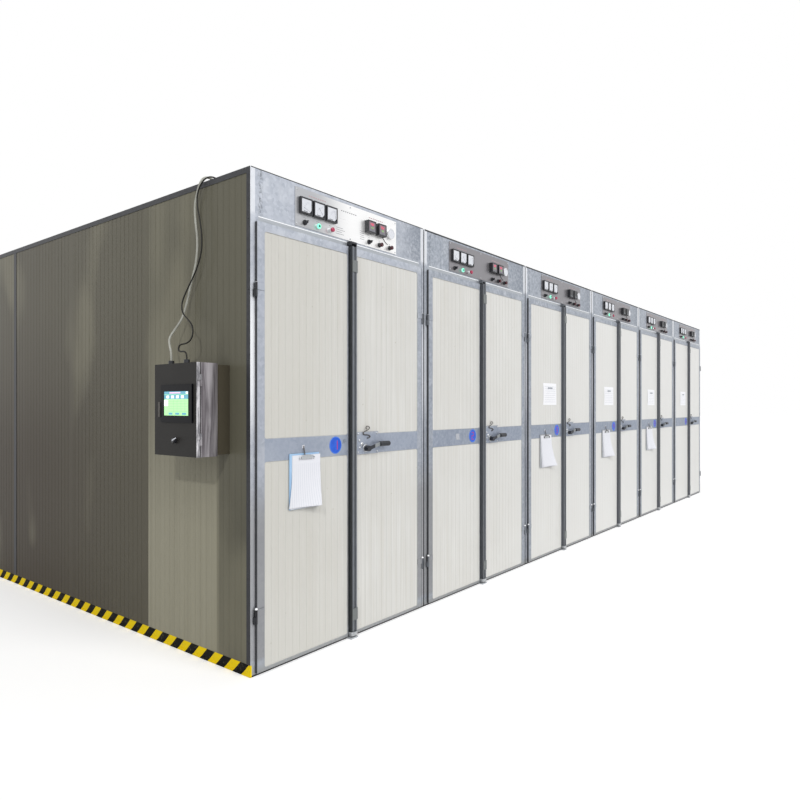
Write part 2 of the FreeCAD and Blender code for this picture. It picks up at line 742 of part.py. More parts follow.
controllers = []
for number, column in enumerate(right_columns[:2], start=1):
    case = block(f"controller_case_{number}", f"{column} - controller_size / 2",
                 "0 - plate_sheet - controller_depth", "upper_row_height - controller_size / 2",
                 "controller_size", "controller_depth", "controller_size")
    window = block(f"controller_window_{number}", f"{column} - controller_size / 2 + controller_bezel",
                   "0 - plate_sheet - controller_depth", "upper_row_height - controller_size / 2 + controller_bezel",
                   "controller_size - 2 * controller_bezel", "face_thick",
                   "controller_size - 2 * controller_bezel")
    controllers.append(cut(f"controller_{number}", case, window))
in_every_bay("controllers", *controllers)

dial = new_body("round_dial", right_columns[2], "0 - plate_sheet", "upper_row_height",
                Rotation(Vector(0, 0, 1), 180))
dial_outline = outline(dial, "dial_outline", "XY_Plane", [
    ("0", "0"), ("dial_radius - dial_rim", "0"), ("dial_radius", "dial_rim"), ("dial_radius", "dial_depth"),
    ("dial_radius - dial_rim", "dial_depth"), ("dial_radius - dial_rim", "dial_depth - 2 * face_thick"),
    ("0", "dial_depth - 2 * face_thick")])
dial_turned = dial.newObject("PartDesign::Revolution", "dial_turned")
dial_turned.Profile = dial_outline
dial_turned.ReferenceAxis = (dial_outline, ["V_Axis"])
dial_turned.Angle = 360
in_every_bay("round_dials", dial)
faces.append(rod("dial_face", right_columns[2], "0 - plate_sheet - dial_depth + 2 * face_thick", "upper_row_height",
                 "dial_radius - dial_rim - pin_clear", "face_thick", TO_FRONT))
in_every_bay("instrument_faces", *faces)


def collar(name, column):
    return rod(name + "_collar", column, "0 - plate_sheet", "lower_row_height", "collar_radius", "collar_length",
               TO_FRONT)


def selector(name, column):
    knob = block(name + "_knob", f"{column} - knob_width / 2", "0 - plate_sheet - knob_proud",
                 "lower_row_height - knob_length / 2", "knob_width", "knob_proud", "knob_length")
    return fuse(name, collar(name, column), knob)


def round_control(name, column, length):
    cap = rod(name + "_cap", column, "0 - plate_sheet", "lower_row_height", "button_radius", length, TO_FRONT)
    return fuse(name, collar(name, column), cap)


in_every_bay("selector_switches", selector("left_selector", left_columns[0]),
             selector("right_selector", right_columns[0]))
in_every_bay("push_buttons", round_control("left_button", left_columns[2], "button_length"),
             round_control("first_button", right_columns[1], "button_length"),
             round_control("second_button", right_columns[2], "button_length"))
in_every_bay("lamps", round_control("lamp", left_columns[1], "lamp_length"))

# Control box: a sheet steel housing on a slightly smaller rear box, open behind its door
box_rear = block("box_rear", "wall_outside - box_rear_depth", "box_near + box_rear_inset",
                 "box_base + box_rear_inset", "box_rear_depth", "box_width - 2 * box_rear_inset",
                 "box_height - 2 * box_rear_inset")
box_front = block("box_front", "wall_outside - box_shell_depth", "box_near", "box_base",
                  "box_shell_depth - box_rear_depth", "box_width", "box_height")
box_hollow = block("box_hollow", "wall_outside - box_shell_depth",
                   "box_near + box_rear_inset + box_sheet", "box_base + box_rear_inset + box_sheet",
                   "box_shell_depth - box_sheet", "box_width - 2 * (box_rear_inset + box_sheet)",
                   "box_height - 2 * (box_rear_inset + box_sheet)")
box_hinge_levels = {"upper": "box_base + box_height - box_hinge_inset - box_hinge_height",
                    "lower": "box_base + box_hinge_inset"}
box_pieces = []
box_door_pieces = []
box_door_bores = []
half_height = "(box_hinge_height - knuckle_gap) / 2"
for level, base in box_hinge_levels.items():
    upper_base = f"{base} + (box_hinge_height + knuckle_gap) / 2"
    box_pieces += [
        rod(f"box_{level}_knuckle", "box_hinge_across", "box_hinge_along", base, "box_hinge_radius", half_height),
        rod(f"box_{level}_pin", "box_hinge_across", "box_hinge_along", base, "box_hinge_pin",
            "box_hinge_height - knuckle_gap"),
        block(f"box_{level}_leaf", "box_hinge_across", "box_hinge_along", base,
              "hinge_foot", "box_hinge_offset", half_height)]
    box_door_pieces += [
        rod(f"box_door_{level}_knuckle", "box_hinge_across", "box_hinge_along", upper_base,
            "box_hinge_radius", half_height),
        block(f"box_door_{level}_leaf", "box_hinge_across - box_door_thick", "box_hinge_along", upper_base,
              "box_door_thick", "box_hinge_offset", half_height)]
    box_door_bores.append(rod(f"box_door_{level}_bore", "box_hinge_across", "box_hinge_along", base,
                              "box_hinge_pin + pin_clear", "2 * box_hinge_height"))
box_shell = cut("box_shell", fuse("box_solid", box_rear, box_front), box_hollow)
node("control_box", fuse("control_box", box_shell, *box_pieces))

door_plate = block("box_door_plate", "wall_outside - box_door_front", "box_near", "box_base",
                   "box_door_thick", "box_width", "box_height")
door_switch = rod("box_door_switch", "wall_outside - box_door_front", "front_plane + switch_from_front",
                  "switch_height", "switch_radius", "switch_length", TO_LEFT)
door_pull = block("box_door_pull", "wall_outside - box_door_front - pull_proud", "front_plane + pull_from_front",
                  "pull_base", "pull_proud", "pull_width", "pull_height")
node("control_box_door", cut("control_box_door", fuse("box_door_welded", door_plate, door_switch, door_pull,
                                                      *box_door_pieces), together("box_door_bores", box_door_bores)))

screen_case = block("screen_case", "wall_outside - box_door_front - screen_thick", "front_plane + screen_from_front",
                    "screen_base", "screen_thick", "screen_width", "screen_height")
display = block("display", "wall_outside - box_door_front - screen_thick",
                "front_plane + screen_from_front + (screen_width - display_width) / 2",
                "screen_base + (screen_height - display_height) / 2",
                "display_depth", "display_width", "display_height")
node("touch_screen", cut("touch_screen", screen_case, display))


# Cables: straight runs joined by arcs that are as large as the runs beside them allow
def cable_path(points, name):
    edges = []
    start = points[0]
    for here in range(1, len(points) - 1):
        corner = points[here]
        back = points[here - 1] - corner
        ahead = points[here + 1] - corner
        shorter = min(back.Length, ahead.Length)
        turn = math.pi - back.getAngle(ahead)
        set_back = 0.45 * shorter
        radius = set_back / math.tan(turn / 2)
        back.normalize()
        ahead.normalize()
        enter = corner + back * set_back
        leave = corner + ahead * set_back
        bisector = back + ahead
        bisector.normalize()
        centre = corner + bisector * (radius / math.cos(turn / 2))
        middle = centre - bisector * radius
        edges.append(Part.LineSegment(start, enter).toShape())
        edges.append(Part.Arc(enter, middle, leave).toShape())
        start = leave
        print(f"{name} arc {here}: radius {radius:.0f}")
    edges.append(Part.LineSegment(start, points[-1]).toShape())
    return Part.Wire(edges)


def cable(label, diameter, points):
    """A round tube along the path, its first run straight up out of the gland."""
    path = cable_path([Vector(*point) for point in points], label)
    circle = Part.Circle(Vector(*points[0]), Vector(0, 0, 1), diameter / 2)
    tube = path.makePipeShell([Part.Wire(circle.toShape())], True, False)
    expected = math.pi * diameter ** 2 / 4 * path.Length
    print(f"{label} length {path.Length:.0f}, volume against section times length {tube.Volume / expected:.4f}")
    feature = doc.addObject("Part::Feature", label)
    feature.Shape = tube
    place(feature, "wall_outside", "front_plane", "0")
    node(label, feature)


# Cable points: across from the end wall's face, back from the front plane, height
grey_roof = (440, 400)
grey_box = (-110, 535)
black_roof = (420, 340)
black_box = (-120, 375)
gland_top = float(sizes.gland_height)
roof_top = float(sizes.total_height - sizes.post_sheet)
box_top = float(sizes.box_base + sizes.box_height)

cable("grey_cable", float(sizes.grey_diameter), [
    (*grey_box, box_top + gland_top), (*grey_box, 1672), (-105, 562, 1716), (-84, 598, 1758), (-56, 576, 1812),
    (-42, 530, 1868), (-28, 508, 1960), (-20, 484, 2060), (-18, 440, 2160), (-17, 428, 2280), (-18, 450, 2400),
    (-21, 450, 2484), (-25, 420, 2546), (-23, 400, 2592), (-2, 391, 2626), (40, 388, 2632), (92, 391, 2612),
    (150, 396, 2604), (208, 398, 2603), (264, 399, 2616), (312, 400, 2660), (350, 400, 2701), (405, 400, 2703),
    (440, 400, 2672), (*grey_roof, roof_top + gland_top)])
cable("black_cable", float(sizes.black_diameter), [
    (*black_box, box_top + gland_top), (*black_box, 1652), (-118, 398, 1672), (-114, 463, 1671), (-110, 463, 1711),
    (-104, 398, 1713), (-98, 364, 1736), (-93, 358, 1776), (-86, 380, 1816), (-77, 436, 1851), (-66, 500, 1890),
    (-56, 522, 1948), (-48, 480, 2020), (-44, 410, 2102), (-42, 358, 2196), (-42, 352, 2290), (-42, 374, 2390),
    (-42, 402, 2480), (-40, 392, 2546), (-27, 364, 2598), (4, 346, 2624), (54, 340, 2619), (118, 337, 2604),
    (190, 340, 2602), (254, 340, 2612), (300, 340, 2650), (332, 340, 2688), (382, 340, 2694), (420, 340, 2668),
    (*black_roof, roof_top + gland_top)])


def gland(name, spot, seat):
    """A cable gland: a turned nut and the neck that grips the cable."""
    nut = rod(name + "_nut", f"wall_outside + {spot[0]}", f"front_plane + {spot[1]}", seat,
              "gland_nut_radius", "gland_nut_height")
    neck = rod(name + "_neck", f"wall_outside + {spot[0]}", f"front_plane + {spot[1]}", seat,
               "gland_radius", "gland_height")
    return fuse(name, nut, neck)


node("cable_glands", together("cable_glands", [
    gland("grey_box_gland", grey_box, "box_base + box_height"),
    gland("black_box_gland", black_box, "box_base + box_height"),
    gland("grey_roof_gland", grey_roof, "wall_top"),
    gland("black_roof_gland", black_roof, "wall_top")]))

doc.recompute()

for thing in doc.Objects:
    if {"Invalid", "Error"} & set(thing.State):
        raise RuntimeError(f"{thing.Name} failed: {thing.State}")

os.makedirs("parts", exist_ok=True)
for label, thing in nodes.items():
    shape = Part.getShape(thing)
    if shape.isNull() or not shape.isValid():
        raise RuntimeError(f"{label} has no valid shape")
    shape.exportStep(f"parts/{label}.step")
print(f"{len(nodes)} nodes written")
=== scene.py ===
import math

import bpy
import numpy as np
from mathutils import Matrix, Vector


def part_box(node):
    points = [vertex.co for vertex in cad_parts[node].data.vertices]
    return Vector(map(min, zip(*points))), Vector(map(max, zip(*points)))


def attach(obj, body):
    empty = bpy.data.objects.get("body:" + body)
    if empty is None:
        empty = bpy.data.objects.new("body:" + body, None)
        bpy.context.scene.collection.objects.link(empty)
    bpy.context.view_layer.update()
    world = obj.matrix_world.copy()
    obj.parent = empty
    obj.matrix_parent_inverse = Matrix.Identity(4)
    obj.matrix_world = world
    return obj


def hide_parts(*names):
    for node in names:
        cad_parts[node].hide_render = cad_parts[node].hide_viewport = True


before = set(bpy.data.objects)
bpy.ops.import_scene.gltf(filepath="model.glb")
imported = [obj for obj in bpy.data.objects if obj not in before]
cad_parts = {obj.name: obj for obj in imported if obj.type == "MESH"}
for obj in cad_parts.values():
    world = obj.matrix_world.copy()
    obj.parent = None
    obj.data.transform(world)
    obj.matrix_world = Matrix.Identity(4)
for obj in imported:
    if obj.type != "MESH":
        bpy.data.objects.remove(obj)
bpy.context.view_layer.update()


# Camera: stands in front of the near corner of the row, at eye height, and looks level along the fronts.
# Its lens and the small shift come from the vanishing points of the row.
view = bpy.data.cameras.new("eye_height_camera")
view.sensor_width = 36.0
view.lens = 29.1
view.shift_y = 0.0075
view.clip_end = 200.0
camera = bpy.data.objects.new("eye_height_camera", view)
camera.location = (-6.602, -2.649, 1.38)
camera.rotation_euler = Vector((0.786, 0.618, 0.0)).to_track_quat("-Z", "Y").to_euler()
bpy.context.collection.objects.link(camera)
bpy.context.scene.camera = camera
bpy.context.scene.view_settings.view_transform = "Standard"


# Supply cables: a grey mains cable and a thinner black signal cable, both with a soft PVC sheath. They leave
# the top of the control box through glands, swing back to the wall, climb it and go over its edge to the roof.
def linear(colour):
    """An sRGB hex colour as linear red, green, blue and alpha: c / 12.92 below 0.04045, else
    ((c + 0.055) / 1.055) to the power 2.4."""
    parts = np.array([int(colour[i:i + 2], 16) for i in (0, 2, 4)]) / 255.0
    parts = np.where(parts <= 0.04045, parts / 12.92, ((parts + 0.055) / 1.055) ** 2.4)
    return (*parts.tolist(), 1.0)


def add(tree, kind, inputs=None, **settings):
    """Adds one shader node with its settings. inputs gives, by socket, a value, a hex colour, an output, or a
    node, whose first output in use is meant."""
    node = tree.nodes.new("ShaderNode" + kind)
    for name, value in settings.items():
        setattr(node, name, value)
    for socket, value in (inputs or {}).items():
        if isinstance(value, bpy.types.Node):
            value = next(output for output in value.outputs if output.enabled)
        if isinstance(value, bpy.types.NodeSocket):
            tree.links.new(value, node.inputs[socket])
        else:
            node.inputs[socket].default_value = linear(value) if isinstance(value, str) else value
    return node


def new_finish(name):
    """Starts a material: returns it, its empty tree and the place on the object, in metres."""
    material = bpy.data.materials.new(name)
    material.use_nodes = True
    material.node_tree.nodes.clear()
    place = add(material.node_tree, "TexCoord")
    return material, material.node_tree, place.outputs["Object"]


def layer(tree, under, over, *shares):
    """Lays one colour over another by the product of the shares. A share is an output or a node, or (value,
    start, end, low, high): it goes from low to high, or 0 to 1, as the value goes from start to end."""
    product = None
    for share in shares:
        if isinstance(share, tuple):
            value, start, end, low, high = share if len(share) == 5 else (*share, 0.0, 1.0)
            share = add(tree, "MapRange", {"Value": value, "From Min": start, "From Max": end, "To Min": low,
                                           "To Max": high})
        product = add(tree, "Math", {0: product, 1: share}, operation="MULTIPLY") if product else share
    return add(tree, "Mix", {0: product, 6: under, 7: over}, data_type="RGBA")


def plain_finish(name, scale, detail, first, second, roughness, ior=1.5, metallic=0.0, specular=0.5):
    """A plain surface, clouded between two hex colours by noise, which also moves its roughness when that is
    given as a pair."""
    material, tree, place = new_finish(name)
    cloud = add(tree, "TexNoise", {"Vector": place, "Scale": scale, "Detail": detail})
    tint = layer(tree, first, second, cloud)
    if isinstance(roughness, tuple):
        roughness = add(tree, "MapRange", {"Value": cloud, "To Min": roughness[0], "To Max": roughness[1]})
    shader = add(tree, "BsdfPrincipled", {"Base Color": tint, "Roughness": roughness, "IOR": ior,
                                          "Metallic": metallic, "Specular IOR Level": specular})
    add(tree, "OutputMaterial", {"Surface": shader})
    return material


WALL_FACE = -4.491
FRONT = -0.025
# Points in millimetres: out from the wall's face, back from the fronts, and up
grey_route = [
    (-110, 535, 1626), (-110, 535, 1672), (-105, 562, 1716), (-84, 598, 1758), (-56, 576, 1812),
    (-42, 530, 1868), (-28, 508, 1960), (-20, 484, 2060), (-18, 440, 2160), (-17, 428, 2280),
    (-18, 450, 2400), (-21, 450, 2484), (-25, 420, 2546), (-23, 400, 2592), (-2, 391, 2626), (40, 388, 2632),
    (92, 391, 2612), (150, 396, 2604), (208, 398, 2603), (264, 399, 2616), (312, 400, 2660), (350, 400, 2701),
    (405, 400, 2703), (440, 400, 2672), (440, 400, 2623)]
black_route = [
    (-120, 375, 1626), (-120, 375, 1652), (-118, 398, 1672), (-114, 463, 1671), (-110, 463, 1711),
    (-104, 398, 1713), (-98, 364, 1736), (-93, 358, 1776), (-86, 380, 1816), (-77, 436, 1851),
    (-66, 500, 1890), (-56, 522, 1948), (-48, 480, 2020), (-44, 410, 2102), (-42, 358, 2196),
    (-42, 352, 2290), (-42, 374, 2390), (-42, 402, 2480), (-40, 392, 2546), (-27, 364, 2598), (4, 346, 2624),
    (54, 340, 2619), (118, 337, 2604), (190, 340, 2602), (254, 340, 2612), (300, 340, 2650), (332, 340, 2688),
    (382, 340, 2694), (420, 340, 2668), (420, 340, 2623)]
cables = [
    ("grey_mains_cable", "grey_cable", "cable_grey", grey_route, 0.012, 1.611, "BFC0B8", "9A998F"),
    ("black_signal_cable", "black_cable", "cable_black", black_route, 0.008, 1.781, "0C0C0E", "26251F")]
for name, node, slot, route, diameter, length, colour, dusty in cables:
    curve = bpy.data.curves.new(name, "CURVE")
    curve.dimensions = "3D"
    curve.bevel_depth = diameter / 2
    curve.bevel_resolution = 5
    curve.resolution_u = 10
    curve.use_fill_caps = True
    spline = curve.splines.new("NURBS")
    spline.points.add(len(route) - 1)
    spots = np.array(route) / 1000.0 + (WALL_FACE, FRONT, 0.0)
    spline.points.foreach_set("co", np.column_stack([spots, np.ones(len(spots))]).ravel())
    spline.order_u = 3
    spline.use_endpoint_u = True
    cable = bpy.data.objects.new(name, curve)
    bpy.context.collection.objects.link(cable)
    # Satin, slightly uneven, with dust where it has been handled and left
    curve.materials.append(plain_finish(name + "_sheath", 45.0, 4.0, colour, dusty, (0.38, 0.62), ior=1.53,
                                        specular=0.25))
    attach(cable, "root")
    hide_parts(node)


# Floor frame, posts, header sheets and door leaf frames: hot-dip galvanised steel sheet, 3 mm thick, folded and
# screwed. The zinc shows a spangle of flat crystals, dull white bloom and dark runs where sheets meet.
def paint_node(node, material):
    """Gives a CAD node one material in all its slots."""
    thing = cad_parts[node]
    if not thing.material_slots:
        thing.data.materials.append(material)
    for place in thing.material_slots:
        place.material = material


ROW_LEFT = -4.494
BAY_PITCH = 1.5
BAYS = 6
SMOOTH = {"interpolation_type": "SMOOTHSTEP"}


def place_in_bay(tree, x):
    """How far right of its chamber's left side a point lies: (x - ROW_LEFT) modulo BAY_PITCH."""
    from_left = add(tree, "Math", {0: x, 1: -ROW_LEFT}, operation="ADD")
    return add(tree, "Math", {0: from_left, 1: BAY_PITCH}, operation="FLOORED_MODULO")


def distance_from(tree, value, centre):
    """|value - centre|."""
    offset = add(tree, "Math", {0: value, 1: centre}, operation="SUBTRACT")
    return add(tree, "Math", {0: offset}, operation="ABSOLUTE")


sheet, tree, place = new_finish("hot_dip_galvanised_sheet")
# The crystals are about 18 mm wide, which a scale of 55 per metre gives
crystals = add(tree, "TexVoronoi", {"Vector": place, "Scale": 55.0})
shade = add(tree, "SeparateColor", {0: crystals.outputs["Color"]})
spangle = layer(tree, "AEB4BF", "C1C6D0", shade.outputs[0])
cloud = add(tree, "TexNoise", {"Vector": place, "Scale": 7.0, "Detail": 8.0, "Roughness": 0.62})
bloomed = layer(tree, spangle, "D3D7DE", (cloud, 0.48, 0.68, 0.0, 0.75))
# Dark runs beside the posts, up in the header, where the sheets lap
x, y, z = add(tree, "SeparateXYZ", {0: place}).outputs
in_bay = place_in_bay(tree, x)
seam_distance = distance_from(tree, in_bay, 0.066)
header_up = add(tree, "MapRange", {"Value": z, "From Min": 2.345, "From Max": 2.375})
runs = add(tree, "TexNoise", {"Vector": place, "Scale": 70.0, "Detail": 3.0})
stained = layer(tree, bloomed, "7C8087", (seam_distance, 0.022, 0.002), header_up, (runs, 0.45, 0.62))
# Toward the right of each header the zinc has weathered darker
mottle = add(tree, "TexNoise", {"Vector": place, "Scale": 42.0, "Detail": 6.0, "Roughness": 0.7})
mottle_share = add(tree, "MapRange", {"Value": mottle, "From Min": 0.38, "From Max": 0.60, "To Min": 0.25,
                                      "To Max": 0.95})
weathered = layer(tree, stained, "868C97", (in_bay, 1.10, 1.42), header_up, mottle_share)
# From the second chamber on, the zinc is more mottled and darkened as painted shade
down_row_painted_shade = add(tree, "MapRange", {"Value": x, "From Min": -3.25, "From Max": -2.95, "To Min": 0.10,
                                  "To Max": 0.75}, **SMOOTH)
weathered = layer(tree, weathered, "828A94", down_row_painted_shade, mottle_share)
# The leaves' frames are duller than the header, and low down the zinc has gone a flat grey
weathered = layer(tree, weathered, "8A8F9C", (z, 2.31, 2.27, 0.0, 0.28))
low_grey = add(tree, "MapRange", {"Value": z, "From Min": 1.08, "From Max": 0.75, "To Max": 0.78}, **SMOOTH)
over_foot = add(tree, "MapRange", {"Value": z, "From Min": 0.06, "From Max": 0.09})
low_grey = add(tree, "Math", {0: low_grey, 1: over_foot}, operation="MULTIPLY")
weathered = layer(tree, weathered, "8F8F90", low_grey, (x, -2.9, -1.6, 1.0, 0.15))
# A highlight is painted on the posts, brightest at shoulder height and on the first post, and along their heads
# under the header
off_bay_middle = distance_from(tree, in_bay, 0.744)
on_post = add(tree, "Math", {0: off_bay_middle, 1: 0.7125}, operation="GREATER_THAN")
from_shoulder = distance_from(tree, z, 1.64)
post_highlight_height = add(tree, "MapRange", {"Value": from_shoulder, "From Min": 0.5, "From Max": 0.12,
                                       "To Min": 0.14, "To Max": 1.0}, **SMOOTH)
first_post = add(tree, "MapRange", {"Value": x, "From Min": -2.9, "From Max": -4.4, "To Min": 0.45})
post_highlight_share = add(tree, "Math", {0: on_post, 1: post_highlight_height}, operation="MULTIPLY")
post_highlight_share = add(tree, "Math", {0: post_highlight_share, 1: first_post}, operation="MULTIPLY")
post_head_highlight = add(tree, "Math", {0: header_up, 1: on_post}, operation="MULTIPLY")
post_later = add(tree, "MapRange", {"Value": x, "From Min": -4.3, "From Max": -3.2, "To Min": 0.62,
                                    "To Max": 0.7})
post_head_highlight = add(tree, "Math", {0: post_head_highlight, 1: post_later}, operation="MULTIPLY")
post_highlight_share = add(tree, "Math", {0: post_highlight_share, 1: post_head_highlight}, operation="MAXIMUM")
weathered = layer(tree, weathered, "F0F2F6", post_highlight_share)
# Hands and clipboards have dulled the middle rails of the leaves
in_leaf = add(tree, "Math", {0: off_bay_middle, 1: 0.66}, operation="LESS_THAN")
rail_off = distance_from(tree, z, 1.1505)
weathered = layer(tree, weathered, "8794AA", (rail_off, 0.068, 0.055, 0.0, 0.42), in_leaf)
weathered = layer(tree, weathered, "95958F", (z, 0.075, 0.02, 0.0, 0.65))
# What is welded on in front of the leaves' faces is painted: the hinge knuckles black, the clamps dull grey
in_front = add(tree, "Math", {0: y, 1: FRONT - 0.0125}, operation="LESS_THAN")
at_hinge = add(tree, "Math", {0: off_bay_middle, 1: 0.7085}, operation="GREATER_THAN")
at_bar = add(tree, "Math", {0: off_bay_middle, 1: 0.0490}, operation="LESS_THAN")
latch_off = distance_from(tree, z, 1.1555)
clear_of_latch = add(tree, "Math", {0: latch_off, 1: 0.1}, operation="GREATER_THAN")
knuckle_paint = layer(tree, "26272A", "74787E", (x, -3.6, -3.1, 0.0, 0.8))
painted = layer(tree, weathered, knuckle_paint, in_front, at_hinge)
painted = layer(tree, painted, "7A7E7E", in_front, at_bar, clear_of_latch)
# The outer cheeks of the end posts are darkened as painted shade, like the trims beside them
off_middle = add(tree, "Math", {0: x}, operation="ABSOLUTE")
shaded_cheek = add(tree, "Math", {0: off_middle, 1: -ROW_LEFT - 0.0008}, operation="GREATER_THAN")
painted = layer(tree, painted, "3A3B3F", shaded_cheek)
# Painted shade darkens the corners between the sheets, where grime also gathers
corners = add(tree, "AmbientOcclusion", {"Distance": 0.025}, samples=6)
corner_shade_and_grime = layer(tree, painted, "303236", (corners.outputs["AO"], 0.75, 0.25, 0.0, 0.85))
dull = add(tree, "MapRange", {"Value": shade.outputs[1], "To Min": 0.36, "To Max": 0.56})
relief = add(tree, "Bump", {"Strength": 0.12, "Distance": 0.0006, "Height": shade.outputs[2]})
zinc = add(tree, "BsdfPrincipled", {"Base Color": corner_shade_and_grime, "Metallic": 0.5, "Roughness": dull, "Normal": relief})
add(tree, "OutputMaterial", {"Surface": zinc})
for node in ("cross_bars", "front_posts", "header_sheets"):
    paint_node(node, sheet)
LEAVES = [f"{bay}_{side}" for bay in range(1, BAYS + 1) for side in ("left", "right")]
for leaf in LEAVES:
    paint_node(f"leaf_frame_{leaf}", sheet)


# Sealing strips along the top edge of the header: black EPDM rubber pressed on the raw edge of the sheet.
def box_shape(low, high):
    """A box from its lowest to its highest corner: eight corners from all the low and high choices."""
    low = np.asarray(low, float)
    high = np.asarray(high, float)
    choice = np.array([[i, j, k] for k in (0, 1) for j in (0, 1) for i in (0, 1)])
    faces = [[0, 2, 3, 1], [4, 5, 7, 6], [0, 1, 5, 4], [2, 6, 7, 3], [0, 4, 6, 2], [1, 3, 7, 5]]
    return low + choice * (high - low), faces


def grid_faces(rows, columns, wrap_rows=False, wrap_columns=False):
    """The quads of a grid of points counted row by row; each joins a point, the next one and the two above."""
    row, column = np.meshgrid(np.arange(rows if wrap_rows else rows - 1),
                              np.arange(columns if wrap_columns else columns - 1), indexing="ij")
    beside = (column + 1) % columns
    above = (row + 1) % rows
    quads = [row * columns + column, row * columns + beside, above * columns + beside, above * columns + column]
    return np.stack(quads, axis=-1).reshape(-1, 4).tolist()


def make_piece(name, shapes, materials, slot, body="root", rounding=0.0, crease=0.6):
    """One mesh from shapes, each (points, faces) or (points, faces, number of its material). Edges sharper
    than crease stay sharp, and rounding bevels them."""
    points = []
    faces = []
    numbers = []
    first = 0
    for shape in shapes:
        corners = np.asarray(shape[0], float).reshape(-1, 3)
        faces += [[first + corner for corner in face] for face in shape[1]]
        numbers += [shape[2] if len(shape) > 2 else 0] * len(shape[1])
        points.append(corners)
        first += len(corners)
    mesh = bpy.data.meshes.new(name)
    mesh.from_pydata(np.concatenate(points).tolist(), [], faces)
    for material in materials:
        mesh.materials.append(material)
    mesh.polygons.foreach_set("material_index", numbers)
    mesh.polygons.foreach_set("use_smooth", [True] * len(faces))
    mesh.set_sharp_from_angle(angle=crease)
    piece = bpy.data.objects.new(name, mesh)
    bpy.context.collection.objects.link(piece)
    if rounding:
        bevel = piece.modifiers.new("rounded_edges", "BEVEL")
        bevel.width = rounding
        bevel.segments = 2
        bevel.limit_method = "ANGLE"
        bevel.angle_limit = crease
    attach(piece, body)
    return piece


def in_bays(shapes, bays=range(BAYS)):
    """The shapes, drawn in the first chamber, repeated at each chamber's place along the row."""
    return [(np.asarray(shape[0]) + (ROW_LEFT + bay * BAY_PITCH, 0.0, 0.0), *shape[1:])
            for bay in bays for shape in shapes]


def on_leaves(name, side, shapes, materials, slot, bays=range(BAYS), **edges):
    """A piece on the left or right leaf of each chamber, drawn in the first one. The chamber's number goes into
    the name, and edges are make_piece's rounding and crease."""
    for bay in bays:
        make_piece(name.format(bay + 1), in_bays(shapes, [bay]), materials, slot,
                   body=f"{side}_leaf_{bay + 1}", **edges)


rubber = plain_finish("black_epdm_rubber", 120.0, 3.0, "26272A", "45474A", 0.75)
first_strip = box_shape((0.006, -0.0262, 2.5960), (1.482, -0.0248, 2.6004))
deep_strip = box_shape((0.006, -0.0262, 2.5900), (1.482, -0.0248, 2.6004))
make_piece("header_edge_strips", in_bays([first_strip], [0]) + in_bays([deep_strip], range(1, BAYS)), [rubber],
           "trim_steel", rounding=0.0004)


# Head rails: bright drawn angles over the doors, newer than the sheet round them, with lengthwise drawing
# marks. A highlight is painted along their top edges.
RAIL_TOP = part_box("head_rails")[1][2]
rail, tree, place = new_finish("bright_drawn_zinc")
stretched = add(tree, "Mapping", {"Vector": place, "Scale": (3.0, 60.0, 60.0)})
marks = add(tree, "TexNoise", {"Vector": stretched, "Scale": 4.0, "Detail": 6.0})
tint = layer(tree, "8E949B", "C8CCD1", marks)
x, y, z = add(tree, "SeparateXYZ", {0: place}).outputs
# Painted highlight: the top 5 mm of the rail is near white
top_edge_highlight = add(tree, "Math", {0: z, 1: RAIL_TOP - 0.005}, operation="GREATER_THAN")
tint = layer(tree, tint, "F6F8FA", top_edge_highlight)
gloss = add(tree, "MapRange", {"Value": marks, "To Min": 0.25, "To Max": 0.5})
shader = add(tree, "BsdfPrincipled", {"Base Color": tint, "Metallic": 0.6, "Roughness": gloss})
add(tree, "OutputMaterial", {"Surface": shader})
paint_node("head_rails", rail)


# Door panels and lintels: polyester coil coated steel skins on foam, with shallow rolled ribs. The coating is a
# warm white with faint yellowed clouds, uneven wiping marks and a few specks of dirt.
def calmed_normal(tree, flat, share):
    """The shading normal turned by a share toward flat, a direction in the piece's own axes, because the edges
    of rolled ribs are soft."""
    shape = add(tree, "NewGeometry")
    turned = add(tree, "VectorTransform", {"Vector": flat}, vector_type="NORMAL", convert_from="OBJECT",
                 convert_to="WORLD")
    calmed = add(tree, "Mix", {0: share, 4: shape.outputs["Normal"], 5: turned}, data_type="VECTOR")
    return calmed.outputs[1]


cream, tree, place = new_finish("cream_coil_coating")
cloud = add(tree, "TexNoise", {"Vector": place, "Scale": 2.2, "Detail": 5.0, "Roughness": 0.55})
tint = layer(tree, "CBC9C3", "D8D8D5", cloud)
drips = add(tree, "Mapping", {"Vector": place, "Scale": (60.0, 60.0, 1.2)})
streaks = add(tree, "TexNoise", {"Vector": drips, "Scale": 1.0, "Detail": 4.0})
streaked = layer(tree, tint, "C9C5B9", (streaks, 0.5, 0.8, 0.0, 0.5))
streaked = layer(tree, streaked, "ECEBE7", (streaks, 0.47, 0.30, 0.0, 0.3))
specks = add(tree, "TexVoronoi", {"Vector": place, "Scale": 9.0, "Randomness": 1.0})
specked = layer(tree, streaked, "9F9580", (specks.outputs["Distance"], 0.05, 0.02, 0.0, 0.6))
# The leaf nearest the aisle is a little darker
x, y, z = add(tree, "SeparateXYZ", {0: place}).outputs
specked = layer(tree, specked, "C6C4BC", (x, -3.6, -4.1, 0.0, 0.6))
specked = layer(tree, specked, "E3E3E1", (x, -3.0, 0.5, 0.0, 0.7))
gloss = add(tree, "MapRange", {"Value": cloud, "To Min": 0.28, "To Max": 0.42})
outer_face = add(tree, "Math", {0: y, 1: FRONT - 0.004}, operation="LESS_THAN")
rib_share = add(tree, "Math", {0: outer_face, 1: 0.6}, operation="MULTIPLY")
shader = add(tree, "BsdfPrincipled", {"Base Color": specked, "Roughness": gloss, "IOR": 1.5,
                                      "Normal": calmed_normal(tree, (0.0, -1.0, 0.0), rib_share)})
add(tree, "OutputMaterial", {"Surface": shader})
paint_node("lintel_panels", cream)
for leaf in LEAVES:
    paint_node(f"leaf_panels_{leaf}", cream)


